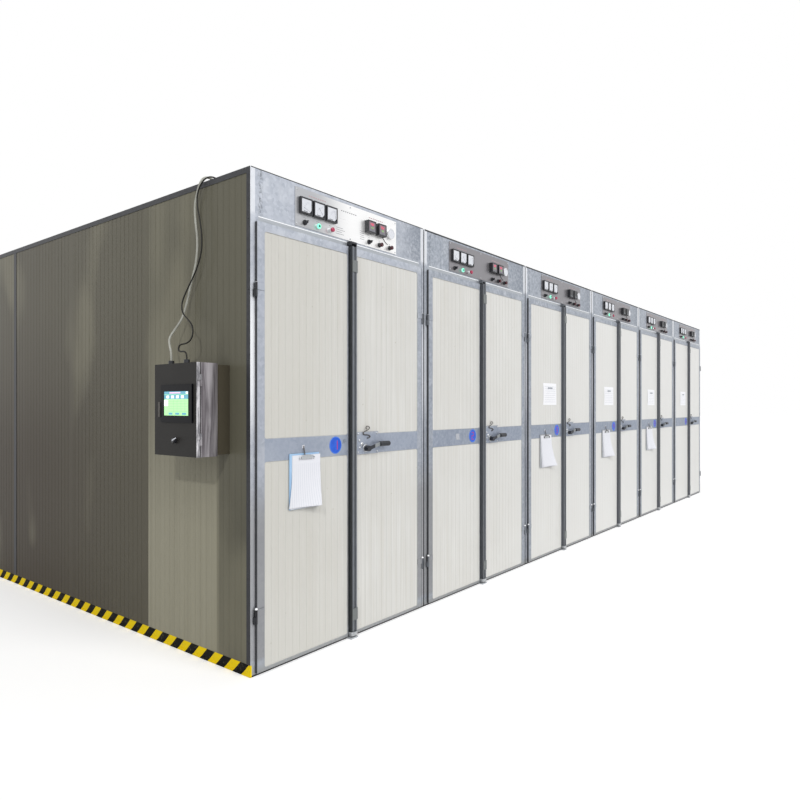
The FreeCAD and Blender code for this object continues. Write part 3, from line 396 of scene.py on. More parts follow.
# Sealant beads: pale grey silicone run round each panel where it meets its leaf frame.
def wire_shape(path, radius, square_to, steps=8, closed=False):
    """A round bead or wire along a flat path: path + radius * (cos a * side + sin a * square_to), where side is
    square to the path in its plane. Open ends are closed flat."""
    path = np.asarray(path, float)
    square_to = np.asarray(square_to, float)
    if closed:
        ahead = np.roll(path, -1, axis=0) - np.roll(path, 1, axis=0)
    else:
        ahead = np.gradient(path, axis=0)
    ahead /= np.linalg.norm(ahead, axis=1, keepdims=True)
    side = np.cross(square_to, ahead)
    side /= np.linalg.norm(side, axis=1, keepdims=True)
    up = np.cross(ahead, side)
    angle = np.linspace(0.0, 2 * math.pi, steps, endpoint=False)[None, :, None]
    points = path[:, None] + radius * (np.cos(angle) * side[:, None] + np.sin(angle) * up[:, None])
    faces = grid_faces(len(path), steps, wrap_rows=closed, wrap_columns=True)
    if not closed:
        faces.append(list(range(steps))[::-1])
        faces.append([(len(path) - 1) * steps + step for step in range(steps)])
    return points, faces


def window_path(left, right, low, high, depth, radius=0.014, steps=6):
    """The outline of a window with rounded corners: four quarter circles joined by straight sides."""
    quarter = np.linspace(0.0, math.pi / 2, steps)
    corners = [(right - radius, low + radius, -math.pi / 2), (right - radius, high - radius, 0.0),
               (left + radius, high - radius, math.pi / 2), (left + radius, low + radius, math.pi)]
    across = np.concatenate([x + radius * np.cos(turn + quarter) for x, z, turn in corners])
    height = np.concatenate([z + radius * np.sin(turn + quarter) for x, z, turn in corners])
    return np.column_stack([across, np.full(len(across), depth), height])


silicone = plain_finish("pale_silicone_sealant", 30.0, 3.0, "A8A9A6", "C9C9C4", 0.45, ior=1.41)
WINDOWS = {"left": (0.084, 0.710), "right": (0.774, 1.404)}
for side, (left, right) in WINDOWS.items():
    beads = [wire_shape(window_path(left, right, low, high, FRONT - 0.0092), 0.0022, (0, 1, 0), closed=True)
             for low, high in ((0.030, 1.091), (1.210, 2.282))]
    on_leaves("sealant_bead_{}_" + side, side, beads, [silicone], "cream_panel", crease=3.0)


# Leaf seals: black rubber strips glued behind the lip of each leaf, along its hinge edge, pressed on the post.
# Their black also stands for the shade in the gap between leaf and post.
for side, low, high in (("left", 0.0318, 0.0358), ("right", 1.4522, 1.4562)):
    strips = [box_shape((low, FRONT - 0.0112, base), (high, FRONT - 0.0012, top))
              for base, top in ((0.016, 0.262), (0.350, 1.930), (2.018, 2.322))]
    on_leaves("leaf_seal_{}_" + side, side, strips, [rubber], "cable_black")


# Lock bars: a black painted channel with a rubber faced groove down the meeting edge of each right leaf. The
# front faces are a lighter grey, partly paint worn to grey and partly a painted sheen of the light on them.
bar_paint, tree, place = new_finish("black_enamel_on_steel")
wear = add(tree, "TexNoise", {"Vector": place, "Scale": 38.0, "Detail": 5.0, "Roughness": 0.6})
tint = layer(tree, "212426", "34383B", wear)
x, y, z = add(tree, "SeparateXYZ", {0: place}).outputs
tint = layer(tree, tint, "6E7178", (x, -3.2, -1.2, 0.0, 0.65))
gloss = add(tree, "MapRange", {"Value": wear, "To Min": 0.3, "To Max": 0.55})
shader = add(tree, "BsdfPrincipled", {"Base Color": tint, "Roughness": gloss, "IOR": 1.5})
add(tree, "OutputMaterial", {"Surface": shader})
# Lighter grey for the front faces: wear, with a painted sheen
bar_front_wear_and_sheen, tree, place = new_finish("worn_grey_steel_with_painted_sheen")
wear = add(tree, "TexNoise", {"Vector": place, "Scale": 22.0, "Detail": 6.0, "Roughness": 0.65})
tint = layer(tree, "62666C", "82868C", wear)
shader = add(tree, "BsdfPrincipled", {"Base Color": tint, "Metallic": 0.5, "Roughness": 0.45})
add(tree, "OutputMaterial", {"Surface": shader})


def channel_shape(outline, low, high):
    """A closed outline in plan carried straight up from low to high, with flat ends."""
    outline = np.asarray(outline, float)
    levels = np.array([low, high])
    points = np.concatenate([np.tile(outline, (2, 1)), np.repeat(levels, len(outline))[:, None]], axis=1)
    faces = grid_faces(2, len(outline), wrap_columns=True)
    faces.append(list(range(len(outline)))[::-1])
    faces.append([len(outline) + corner for corner in range(len(outline))])
    return points, faces


bar_front = FRONT - 0.0375
groove = bar_front + 0.004
skin = channel_shape([(0.7256, -0.0366), (0.7256, bar_front), (0.7390, bar_front), (0.7390, groove),
                      (0.7530, groove), (0.7530, bar_front), (0.7664, bar_front), (0.7664, -0.0366)],
                     0.0405, 2.3274)
lands = [box_shape((left, front, 0.0420), (right, back, 2.3260))
         for left, front, right, back in ((0.7275, bar_front - 0.0003, 0.7385, bar_front + 0.001),
                                          (0.7535, bar_front - 0.0003, 0.7660, bar_front + 0.001),
                                          (0.7395, bar_front + 0.0037, 0.7525, bar_front + 0.005),
                                          (0.7662, bar_front + 0.0015, 0.7667, -0.0380))]
on_leaves("lock_bar_skin_{}", "right", [skin] + [(*land, 1) for land in lands], [bar_paint, bar_front_wear_and_sheen],
          "dark_steel")


# Frame hinges and keepers: barrel hinges and lock bar hoods of black painted steel, and at the floor a notched
# keeper of bare galvanised plate.
black_steel, tree, place = new_finish("black_painted_steel")
wear = add(tree, "TexNoise", {"Vector": place, "Scale": 60.0, "Detail": 5.0, "Roughness": 0.6})
tint = layer(tree, "1B1C1F", "45474B", wear)
x, y, z = add(tree, "SeparateXYZ", {0: place}).outputs
tint = layer(tree, tint, "74787E", (x, -3.6, -3.1, 0.0, 0.75))
low_down = add(tree, "Math", {0: z, 1: 0.1}, operation="LESS_THAN")
bare = layer(tree, tint, "C4C7CB", low_down)
gloss = add(tree, "MapRange", {"Value": wear, "To Min": 0.35, "To Max": 0.6})
shader = add(tree, "BsdfPrincipled", {"Base Color": bare, "Metallic": 0.25, "Roughness": gloss,
                                      "Specular IOR Level": 0.35})
add(tree, "OutputMaterial", {"Surface": shader})
for node in ("frame_hinges", "keepers"):
    paint_node(node, black_steel)


# Latch plates: bolts and a wire hook on the galvanised plate of each right leaf. The bolts are zinc plated,
# with low domed heads; the hook is dull bent wire that hangs over the plate's top edge.
def turned_shape(profile, centre, along, steps):
    """A turned shape: centre + distance * along + radius * (cos a * side + sin a * up) for each (distance,
    radius) of the profile, closed by flat ends."""
    profile = np.asarray(profile, float)
    along = np.asarray(along, float)
    along = along / np.linalg.norm(along)
    side = np.cross(along, (0.0, 0.0, 1.0) if abs(along[2]) < 0.9 else (1.0, 0.0, 0.0))
    side /= np.linalg.norm(side)
    up = np.cross(along, side)
    angle = np.linspace(0.0, 2 * math.pi, steps, endpoint=False)
    ring = np.cos(angle)[:, None] * side + np.sin(angle)[:, None] * up
    points = np.asarray(centre) + profile[:, None, :1] * along + profile[:, None, 1:] * ring[None]
    faces = grid_faces(len(profile), steps, wrap_columns=True)
    faces.append(list(range(steps))[::-1])
    faces.append([(len(profile) - 1) * steps + step for step in range(steps)])
    return points, faces


def dome_profile(radius, height, steps=4):
    """A low domed head: radius * cos a against height * sin a, from its rim nearly to its crown."""
    angle = np.linspace(0.0, math.radians(80), steps)
    return [(0.0, radius), *zip((height * 0.3 + height * 0.7 * np.sin(angle)).tolist(),
                                (radius * np.cos(angle)).tolist())]


bolt_zinc = plain_finish("zinc_plated_bolt", 140.0, 3.0, "A4A7AB", "DADDE0", 0.32, metallic=0.85)
hook_wire = plain_finish("tarnished_hook_wire", 90.0, 4.0, "3A3836", "6E6A66", 0.5, metallic=0.6)
TO_FRONT = (0.0, -1.0, 0.0)
plate_face = FRONT - 0.015
heads = [turned_shape(dome_profile(0.0065, 0.004), (x, plate_face, z), TO_FRONT, 16)
         for x, z in ((0.802, 1.100), (0.802, 1.211), (0.978, 1.100), (0.978, 1.211))]
heads += [turned_shape(dome_profile(radius, 0.006), (x, plate_face, z), TO_FRONT, 20)
          for radius, x, z in ((0.013, 0.837, 1.148), (0.008, 0.812, 1.172), (0.008, 0.817, 1.128))]
ring = turned_shape([(0.0, 0.024), (0.002, 0.024), (0.0032, 0.0225), (0.0032, 0.019)],
                    (0.870, plate_face, 1.122), TO_FRONT, 28)
curl = np.linspace(0.0, 1.0, 40)
corners = np.array([(0.872, 1.238), (0.866, 1.250), (0.880, 1.259), (0.902, 1.253), (0.903, 1.240),
                    (0.880, 1.232), (0.846, 1.223), (0.840, 1.211), (0.856, 1.204), (0.888, 1.204),
                    (0.911, 1.196), (0.906, 1.186), (0.882, 1.183)])
reach = np.linspace(0.0, 1.0, len(corners))
path = np.column_stack([np.interp(curl, reach, corners[:, 0]), np.full(40, plate_face - 0.0044),
                        np.interp(curl, reach, corners[:, 1])])
for _ in range(3):
    path[1:-1] = 0.25 * path[:-2] + 0.5 * path[1:-1] + 0.25 * path[2:]
hook = wire_shape(path, 0.0026, (0, 1, 0), 10)
on_leaves("latch_fixings_{}", "right", heads + [ring, (*hook, 1)], [bolt_zinc, hook_wire], "galvanised_steel")


# Hinge pins: bright zinc plated pins dropped from above into the knuckles of the leaves' hinges, their near
# white partly a painted glint. The lower ones have high mushroom heads, and the upper ones are knocked in
# nearly flush.
# Near white: partly a painted glint on the zinc pin heads
pin_glint_zinc = plain_finish("zinc_pin_with_painted_glint", 200.0, 2.0, "F0F2F4", "FFFFFF", 0.3, metallic=0.2)
pins = [turned_shape(dome_profile(0.0080, height), (hinge, FRONT - 0.014, top - 0.0002), (0.0, 0.0, 1.0), 16)
        for hinge in (0.028, 1.460) for top, height in ((0.342, 0.0100), (2.012, 0.0020))]
make_piece("hinge_pins", in_bays(pins), [pin_glint_zinc], "hinge_steel")


# Foot straps: a strip of galvanised sheet bent round the foot of each lock bar and its bolt end, dented by use.
outline = [(0.7200, -0.0372), (0.7170, -0.0560), (0.7190, bar_front - 0.0020), (0.7420, bar_front - 0.0044),
           (0.7700, bar_front - 0.0016), (0.7745, -0.0580), (0.7830, -0.0480), (0.7860, -0.0372),
           (0.7840, -0.0372), (0.7812, -0.0474), (0.7727, -0.0566), (0.7684, bar_front),
           (0.7420, bar_front - 0.0024), (0.7206, bar_front - 0.0002), (0.7190, -0.0560), (0.7220, -0.0372)]
strap = channel_shape(outline, 0.0180, 0.0400)
strap[0][:, 1] += 0.0025 * np.sin(90 * strap[0][:, 0]) * (strap[0][:, 2] > 0.03)
bolt_end = channel_shape([(0.7300, -0.0400), (0.7300, -0.0580), (0.7560, -0.0580), (0.7560, -0.0400)],
                         0.0150, 0.0410)
on_leaves("bar_foot_strap_{}", "right", [strap, bolt_end], [bolt_zinc], "galvanised_steel", rounding=0.0006)


# Latch levers: a forged arm on a boss with a moulded nylon grip, all black, rubbed shiny where hands turn it.
grip, tree, place = new_finish("moulded_black_nylon")
grain = add(tree, "TexNoise", {"Vector": place, "Scale": 260.0, "Detail": 2.0})
rubbed = add(tree, "TexNoise", {"Vector": place, "Scale": 20.0, "Detail": 3.0})
tint = layer(tree, "1C1E24", "33363D", rubbed)
gloss = add(tree, "MapRange", {"Value": rubbed, "To Min": 0.28, "To Max": 0.55})
relief = add(tree, "Bump", {"Strength": 0.15, "Distance": 0.0003, "Height": grain})
# Between boss and grip the paint is gone and the arm shows bare grey steel
x, y, z = add(tree, "SeparateXYZ", {0: place}).outputs
in_bay = place_in_bay(tree, x)
past_boss = add(tree, "Math", {0: in_bay, 1: 0.922}, operation="GREATER_THAN")
before_grip = add(tree, "Math", {0: in_bay, 1: 0.9675}, operation="LESS_THAN")
tint = layer(tree, tint, "8C9092", past_boss, before_grip)
shader = add(tree, "BsdfPrincipled", {"Base Color": tint, "Roughness": gloss, "IOR": 1.53,
                                      "Specular IOR Level": 0.35, "Normal": relief})
add(tree, "OutputMaterial", {"Surface": shader})
for bay in range(1, BAYS + 1):
    paint_node(f"latch_lever_{bay}", grip)


# End walls, partitions, back and roof: sandwich panels with a taupe coil coating, semi-gloss, ribbed every 50
# mm; their dark tone is partly painted shade. Rolling leaves faint upright bands, and the ribs show softly.
taupe, tree, place = new_finish("taupe_coil_coating_with_painted_shade")
cloud = add(tree, "TexNoise", {"Vector": place, "Scale": 0.9, "Detail": 4.0, "Roughness": 0.5})
# The dark base tone is partly the coating's colour and partly painted shade
tint = layer(tree, "605E50", "716E5F", cloud)
# On the end with the control box, the panels past the first joint are darkened as painted shade, and the first
# panel below the box is lightened by a painted sheen, both most of all low down
x, y, z = add(tree, "SeparateXYZ", {0: place}).outputs
left_skin = add(tree, "Math", {0: x, 1: ROW_LEFT + 0.0045}, operation="LESS_THAN")
past_joint = add(tree, "Math", {0: y, 1: 0.926}, operation="GREATER_THAN")
past_joint = add(tree, "Math", {0: past_joint, 1: left_skin}, operation="MULTIPLY")
far_panel_shade = add(tree, "MapRange", {"Value": y, "From Min": 0.9, "From Max": 2.6, "To Min": 0.45,
                                   "To Max": 0.9}, **SMOOTH)
far_panel_shade = add(tree, "Math", {0: far_panel_shade, 1: past_joint}, operation="MULTIPLY")
less_high = add(tree, "MapRange", {"Value": z, "From Min": 2.3, "From Max": 0.9, "To Min": 0.45}, **SMOOTH)
tint = layer(tree, tint, "3A3023", far_panel_shade, less_high)
# Painted sheen: the first panel is paler below the box
tint = layer(tree, tint, "A19D8A", (y, 0.235, 0.262), (y, 0.929, 0.925), (z, 1.9, 0.7, 0.0, 0.85), left_skin)
# Beside the near corner it is darker low down
near_corner_dark = add(tree, "MapRange", {"Value": y, "From Min": 0.240, "From Max": 0.228, "To Max": 0.4})
low_down = add(tree, "MapRange", {"Value": z, "From Min": 1.5, "From Max": 0.7})
near_corner_dark = add(tree, "Math", {0: near_corner_dark, 1: low_down}, operation="MULTIPLY")
tint = layer(tree, tint, "45443A", near_corner_dark, left_skin)
# Large soft paler patches on this end wall are painted reflections
patches = add(tree, "Mapping", {"Vector": place, "Scale": (1.6, 1.6, 0.8)})
patches = add(tree, "TexNoise", {"Vector": patches, "Scale": 1.3, "Detail": 1.5})
reflection_patch_share = add(tree, "MapRange", {"Value": patches, "From Min": 0.52, "From Max": 0.70,
                                     "To Max": 0.45}, **SMOOTH)
tint = layer(tree, tint, "8E8A76", reflection_patch_share, left_skin)
bands = add(tree, "Mapping", {"Vector": place, "Scale": (28.0, 28.0, 0.5)})
streaks = add(tree, "TexNoise", {"Vector": bands, "Scale": 1.0, "Detail": 4.0})
streaked = layer(tree, tint, "545040", (streaks, 0.42, 0.75, 0.0, 0.15))
gloss = add(tree, "MapRange", {"Value": streaks, "To Min": 0.24, "To Max": 0.40})
end_side = add(tree, "Math", {0: x}, operation="SIGN")
outward = add(tree, "CombineXYZ", {"X": end_side})
off_middle = add(tree, "Math", {0: x}, operation="ABSOLUTE")
outer_face = add(tree, "Math", {0: off_middle, 1: -ROW_LEFT - 0.0045}, operation="GREATER_THAN")
rib_share = add(tree, "Math", {0: outer_face, 1: 0.88}, operation="MULTIPLY")
soft_ribs = calmed_normal(tree, outward, rib_share)
shader = add(tree, "BsdfPrincipled", {"Base Color": streaked, "Roughness": gloss, "IOR": 1.5,
                                      "Specular IOR Level": 0.18, "Normal": soft_ribs})
add(tree, "OutputMaterial", {"Surface": shader})
for node in ("left_end_wall", "right_end_wall", "partition_walls", "back_walls", "roof_panels"):
    paint_node(node, taupe)


# Joint seals: black rubber strips pressed into the gaps between the chambers, at the back and on the roof.
seals = []
for bay in range(1, BAYS):
    far_side = ROW_LEFT + bay * BAY_PITCH - 0.0004
    near_side = far_side - 0.0112
    seals.append(box_shape((near_side, 3.7600, 0.0090), (far_side, 3.7730, 2.5850)))
    seals.append(box_shape((near_side, 0.0050, 2.5850), (far_side, 3.7730, 2.5970)))
make_piece("joint_seals", seals, [rubber], "cable_black", rounding=0.0006)


# Wall trims: dark painted angles over the edges of the end walls, their dark tone partly painted shade, held by
# small pan head screws. The sill under the fronts is near black as the painted shadow under the doors.
# Dark trim colour, partly painted shade
trim = plain_finish("dark_trim_with_painted_shade", 25.0, 5.0, "36373A", "4E4F52", (0.3, 0.5), specular=0.2)
paint_node("wall_trims", trim)
# Near black sill: painted shadow under the doors
sill_painted_shadow = plain_finish("near_black_painted_sill_shadow", 80.0, 4.0, "0B0C0D", "1C1D1F", 0.7, specular=0.2)
paint_node("sill_bars", sill_painted_shadow)
screw_heights = np.arange(0.170, 2.5, 0.3612)
make_piece("corner_screws",
           [turned_shape(dome_profile(0.005, 0.0025), (end * -ROW_LEFT, -0.010, height), (end, 0.0, 0.0), 12)
            for end in (-1.0, 1.0) for height in screw_heights], [trim], "trim_steel")


# Hazard tape: yellow and black diagonal bands, each 50 mm wide across, on the foot of the end wall, scuffed by
# wheels. It is lapped down over the floor frame and round the corner post.
tape, tree, place = new_finish("scuffed_hazard_tape")
x, y, z = add(tree, "SeparateXYZ", {0: place}).outputs
slant = add(tree, "Math", {0: y, 1: z}, operation="ADD")
slant = add(tree, "Math", {0: slant, 1: 0.024}, operation="ADD")
BAND_PITCH = 0.143
phase = add(tree, "Math", {0: slant, 1: BAND_PITCH}, operation="FLOORED_MODULO")
band = add(tree, "Math", {0: phase, 1: BAND_PITCH / 2}, operation="GREATER_THAN")
tint = layer(tree, "F4D40A", "0C0C0B", band)
scuffs = add(tree, "TexNoise", {"Vector": place, "Scale": 50.0, "Detail": 6.0, "Roughness": 0.7})
scuffed = layer(tree, tint, "77735F", (scuffs, 0.56, 0.78, 0.0, 0.6))
shader = add(tree, "BsdfPrincipled", {"Base Color": scuffed, "Roughness": 0.6, "IOR": 1.5,
                                      "Specular IOR Level": 0.12})
add(tree, "OutputMaterial", {"Surface": shader})
paint_node("hazard_tape", tape)
laps = [box_shape((ROW_LEFT - 0.0008, near, low), (ROW_LEFT + inward, far, high))
        for near, low, inward, far, high in ((-0.0256, 0.0005, -0.0001, 3.740, 0.0083),
                                             (0.0052, 0.0083, 0.0022, 3.740, 0.0121),
                                             (-0.0256, 0.0083, -0.0001, 0.0052, 0.0620),
                                             (-0.0256, 0.0005, 0.0095, -0.0251, 0.0620))]
make_piece("tape_laps", laps, [tape], "hazard_tape")


# Instrument plates: brushed stainless sheet with six screws. The first one fades to near white from its middle
# to its right.
stainless, tree, place = new_finish("brushed_stainless_plate")
along_grain = add(tree, "Mapping", {"Vector": place, "Scale": (2.0, 100.0, 300.0)})
grain = add(tree, "TexNoise", {"Vector": along_grain, "Scale": 3.0, "Detail": 4.0})
dull_steel = layer(tree, "ACAEB2", "C3C4C7", grain)
near_white_steel = layer(tree, "F2F2F2", "FFFFFF", grain)
x, y, z = add(tree, "SeparateXYZ", {0: place}).outputs
in_bay = place_in_bay(tree, x)
pale_pattern = add(tree, "MapRange", {"Value": in_bay, "From Min": 0.42, "From Max": 0.78}, **SMOOTH)
first_bay = add(tree, "Math", {0: x, 1: ROW_LEFT + BAY_PITCH}, operation="LESS_THAN")
dull_steel = layer(tree, "8F8D91", dull_steel, first_bay)
tint = layer(tree, dull_steel, near_white_steel, pale_pattern, first_bay)
gloss = add(tree, "MapRange", {"Value": grain, "To Min": 0.22, "To Max": 0.42})
shader = add(tree, "BsdfPrincipled", {"Base Color": tint, "Metallic": 0.7, "Roughness": gloss})
add(tree, "OutputMaterial", {"Surface": shader})
paint_node("instrument_plates", stainless)
plate_front = FRONT - 0.003
make_piece("plate_screws",
           in_bays([turned_shape(dome_profile(0.005, 0.003), (x, plate_front, z), TO_FRONT, 14)
                    for x in (0.3155, 0.744, 1.1725) for z in (2.377, 2.565)]),
           [bolt_zinc], "stainless_plate")


# Panel meters: square moving coil meters in black moulded cases. Each white scale has a cut corner over the
# movement, an arc of printed marks, a thin pointer and a short bar at its foot.
black_plastic = plain_finish("black_abs_moulding", 300.0, 2.0, "141519", "2A2B31", 0.36, ior=1.53)
for node in ("meter_cases", "controllers"):
    paint_node(node, black_plastic)
white_card = plain_finish("printed_white_card", 40.0, 3.0, "D4D7DF", "E4E6EB", 0.25)
paint_node("instrument_faces", white_card)
UPPER_ROW = 2.482
LOWER_ROW = 2.393
METERS = (0.374, 0.474, 0.574)
BLOCK_FACES = [[0, 1, 2, 3], [7, 6, 5, 4], [0, 4, 5, 1], [1, 5, 6, 2], [2, 6, 7, 3], [3, 7, 4, 0]]
face_front = FRONT - 0.0195


def bar_shape(start, end, width, depth, thick=0.0004):
    """A flat printed bar between two points (across, height), width wide and thick deep."""
    start = np.asarray(start, float)
    end = np.asarray(end, float)
    ahead = (end - start) / np.linalg.norm(end - start)
    side = np.array([-ahead[1], ahead[0]]) * width / 2
    flat = np.array([start - side, end - side, end + side, start + side])
    points = np.array([(x, y, z) for y in (depth - thick, depth) for x, z in flat])
    return points, BLOCK_FACES


prints = []
for column in METERS:
    pivot = np.array([column + 0.030, UPPER_ROW - 0.030])
    for number, angle in enumerate(np.radians(np.linspace(96, 174, 11))):
        spoke = np.array([math.cos(angle), math.sin(angle)])
        inner = 0.048 if number % 5 == 0 else 0.051
        prints.append((*bar_shape(pivot + inner * spoke, pivot + 0.056 * spoke, 0.0007, face_front), 1))
    arc = np.radians(np.linspace(96, 174, 14))
    rim = pivot + 0.048 * np.column_stack([np.cos(arc), np.sin(arc)])
    prints += [(*bar_shape(rim[i], rim[i + 1], 0.0005, face_front), 1) for i in range(len(rim) - 1)]
    turn = math.radians(160 - 30 * (column - 0.374) / 0.1)
    spoke = np.array([math.cos(turn), math.sin(turn)])
    prints.append(bar_shape(pivot + 0.008 * spoke, pivot + 0.053 * spoke, 0.0009, face_front - 0.0006))
    prints.append(bar_shape((column - 0.022, UPPER_ROW - 0.031), (column + 0.006, UPPER_ROW - 0.031), 0.0035,
                            face_front))
ink = plain_finish("dull_black_ink", 80.0, 2.0, "4A4C52", "6C6F76", 0.6)
fine_ink = plain_finish("fine_grey_ink", 80.0, 2.0, "A2A5AC", "BEC1C8", 0.6)
make_piece("meter_scales", in_bays(prints), [ink, fine_ink], "white_face")
frames = []
for column in METERS:
    for left, low, right, high in ((-0.044, -0.044, -0.0364, 0.044), (0.0364, -0.044, 0.044, 0.044),
                                   (-0.0364, -0.044, 0.0364, -0.0360), (-0.0364, 0.0362, 0.0364, 0.044)):
        frames.append(box_shape((column + left, face_front - 0.0016, UPPER_ROW + low),
                                (column + right, face_front + 0.0012, UPPER_ROW + high)))
make_piece("meter_bezels", in_bays(frames), [black_plastic], "black_plastic")


# Controllers: two digital temperature controllers side by side, with red measured figures over green set
# figures and four grey keys on a smoky film. From the third chamber on they are switched off.
def glowing(name, colour, strength):
    """A lit plastic segment or lamp: its own colour given off as light over a dark base."""
    material, tree, place = new_finish(name)
    grain = add(tree, "TexNoise", {"Vector": place, "Scale": 200.0})
    level = add(tree, "MapRange", {"Value": grain, "To Min": strength * 0.9, "To Max": strength * 1.1})
    shader = add(tree, "BsdfPrincipled", {"Base Color": colour, "Roughness": 0.3, "IOR": 1.49,
                                          "Emission Color": colour, "Emission Strength": level})
    add(tree, "OutputMaterial", {"Surface": shader})
    return material


SEGMENTS = {"0": "abcdef", "1": "bc", "2": "abged", "3": "abgcd", "4": "fgbc", "5": "afgcd", "6": "afgedc",
            "7": "abc", "8": "abcdefg", "9": "abcdfg"}
ENDS = {"a": ((0, 1), (1, 1)), "b": ((1, 1), (1, .5)), "c": ((1, .5), (1, 0)), "d": ((0, 0), (1, 0)),
        "e": ((0, 0), (0, .5)), "f": ((0, .5), (0, 1)), "g": ((0, .5), (1, .5))}


def figures(text, left, base, height, depth):
    """Seven segment figures from left, each half as wide as high, their strokes a ninth of the height."""
    bars = []
    for number, figure in enumerate(text):
        corner = np.array([left + number * height * 0.82, base])
        for segment in SEGMENTS[figure]:
            ends = np.array(ENDS[segment]) * (height * 0.5, height) + corner
            bars.append(bar_shape(ends[0], ends[1], height / 9, depth))
    return bars


window_floor = FRONT - 0.0315
red_digits = glowing("red_figures", "F0305A", 0.8)
green_digits = glowing("green_figures", "7CC45A", 0.7)
key_grey = plain_finish("grey_key_film", 150.0, 2.0, "6F7479", "8D9297", 0.4)
film, tree, place = new_finish("smoke_grey_window_film")
x, y, z = add(tree, "SeparateXYZ", {0: place}).outputs
tint = layer(tree, "7C7A82", "8C727C", (z, 2.452, 2.512))
shader = add(tree, "BsdfPrincipled", {"Base Color": tint, "Roughness": 0.35, "IOR": 1.5})
add(tree, "OutputMaterial", {"Surface": shader})
lit = []
for column, measured, wanted in ((0.914, "458", "460"), (1.014, "952", "950")):
    lit += [(*bar, 0) for bar in figures(measured, column - 0.014, UPPER_ROW + 0.008, 0.0125, window_floor)]
    lit += [(*bar, 1) for bar in figures(wanted, column - 0.010, UPPER_ROW - 0.011, 0.0095, window_floor)]
    lit.append((*box_shape((column - 0.0295, window_floor - 0.0002, UPPER_ROW - 0.0295),
                           (column + 0.0295, window_floor + 0.0008, UPPER_ROW + 0.0295)), 3))
    for key in range(4):
        left = column - 0.024 + key * 0.0130
        lit.append((*box_shape((left, window_floor - 0.0012, UPPER_ROW - 0.027),
                               (left + 0.009, window_floor, UPPER_ROW - 0.020)), 2))
unlit = [(*shape[:2], 4 if shape[2] == 3 else 2) for shape in lit if shape[2] > 1]
make_piece("controller_displays", in_bays(lit, (0, 1)) + in_bays(unlit, range(2, BAYS)),
           [red_digits, green_digits, key_grey, film, black_plastic], "red_plastic")


# Dials: a round thermometer with a plated rim, a printed white face and a thin black capillary tube that runs
# from the controller beside it.
chrome = plain_finish("plated_dial_rim", 60.0, 3.0, "DCDEE1", "F6F7F8", (0.12, 0.3), metallic=0.5)
paint_node("round_dials", chrome)
DIAL = 1.114
dial_centre = np.array([DIAL, UPPER_ROW])
dial_face = FRONT - 0.0165
card = turned_shape([(0.0, 0.0272), (0.0004, 0.0268), (0.0004, 0.0020)], (DIAL, dial_face + 0.0002, UPPER_ROW),
                    TO_FRONT, 40)
marks = []
for number, angle in enumerate(np.radians(np.linspace(225, -45, 28))):
    spoke = np.array([math.cos(angle), math.sin(angle)])
    inner = 0.0205 if number % 3 == 0 else 0.0225
    marks.append(bar_shape(dial_centre + inner * spoke, dial_centre + 0.0255 * spoke, 0.0008,
                           dial_face - 0.0003))
spoke = np.array([math.cos(math.radians(118)), math.sin(math.radians(118))])
marks.append(bar_shape(dial_centre - 0.006 * spoke, dial_centre + 0.021 * spoke, 0.0022, dial_face - 0.0008))
hub = turned_shape([(0.0, 0.004), (0.0016, 0.004), (0.0022, 0.003)], (DIAL, dial_face, UPPER_ROW), TO_FRONT,
                   16)
dial_white = plain_finish("white_dial_enamel", 70.0, 2.0, "F2F3F6", "FDFDFE", 0.3)
make_piece("dial_scales", in_bays(marks + [hub, (*card, 1)]), [ink, dial_white], "white_face")
bend = np.linspace(0.0, 1.0, 24)
capillary = np.column_stack([1.046 + 0.050 * bend, np.full(24, plate_front - 0.0020),
                             2.447 - 0.030 * np.sin(bend * math.pi / 2) - 0.004 * bend])
make_piece("capillary_tubes", in_bays([wire_shape(capillary, 0.0016, (0, 1, 0), 8)]), [rubber], "cable_black",
           crease=1.2)


# Switches, buttons and lamps: 22 mm industrial controls, each a plated or black collar with a moulded cap.
def millimetres(pairs):
    """A turned profile in metres from (distance, radius) pairs in millimetres."""
    return np.array(pairs) / 1000.0


collar_ring = millimetres([(0, 15), (4.5, 15), (6.2, 14.5), (7, 13.8), (7, 13.3), (5.0, 13.2)])
sleeve_profile = millimetres([(4, 12.4), (15, 12.4), (16, 12.2), (16, 10.0)])
cap_profile = millimetres([(14, 11.6), (16.4, 12.9), (25, 12.9), (26.8, 12.2), (27.8, 10.4), (28, 8.0)])
dark_cap = plain_finish("dark_red_button", 90.0, 2.0, "28090F", "551424", 0.22, ior=1.53)
red_cap = plain_finish("red_button", 90.0, 2.0, "9A2040", "C8456A", 0.22, ior=1.53)
buttons = []
for column, collar, cap in ((0.574, 0, 1), (1.014, 3, 2), (DIAL, 3, 2)):
    for profile, number in ((collar_ring, collar), (sleeve_profile, collar), (cap_profile, cap)):
        buttons.append((*turned_shape(profile, (column, plate_front, LOWER_ROW), TO_FRONT, 28), number))
push_buttons = make_piece("dressed_push_buttons", in_bays(buttons), [chrome, red_cap, dark_cap, black_plastic],
                          "red_plastic")
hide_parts("push_buttons")
green_lens = glowing("lit_green_lens", "74DDB6", 1.1)
lens_profile = millimetres([(4, 13.0), (8, 14.9), (12, 15.0), (14.6, 14.0), (15.8, 11.6), (15.4, 8.0)])
lens_heart = millimetres([(10, 7.4), (15.6, 7.2), (17.6, 6.2), (19, 4.2), (19.9, 1.8)])
heart_green = glowing("dim_green_lens_heart", "0A4A36", 0.3)
lamp = [(*turned_shape(profile, (0.474, plate_front, LOWER_ROW), TO_FRONT, 28), number)
        for number, profile in enumerate((collar_ring, lens_profile, lens_heart))]
lamps = make_piece("dressed_lamps", in_bays(lamp), [chrome, green_lens, heart_green], "green_lens")
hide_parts("lamps")
knobs = []
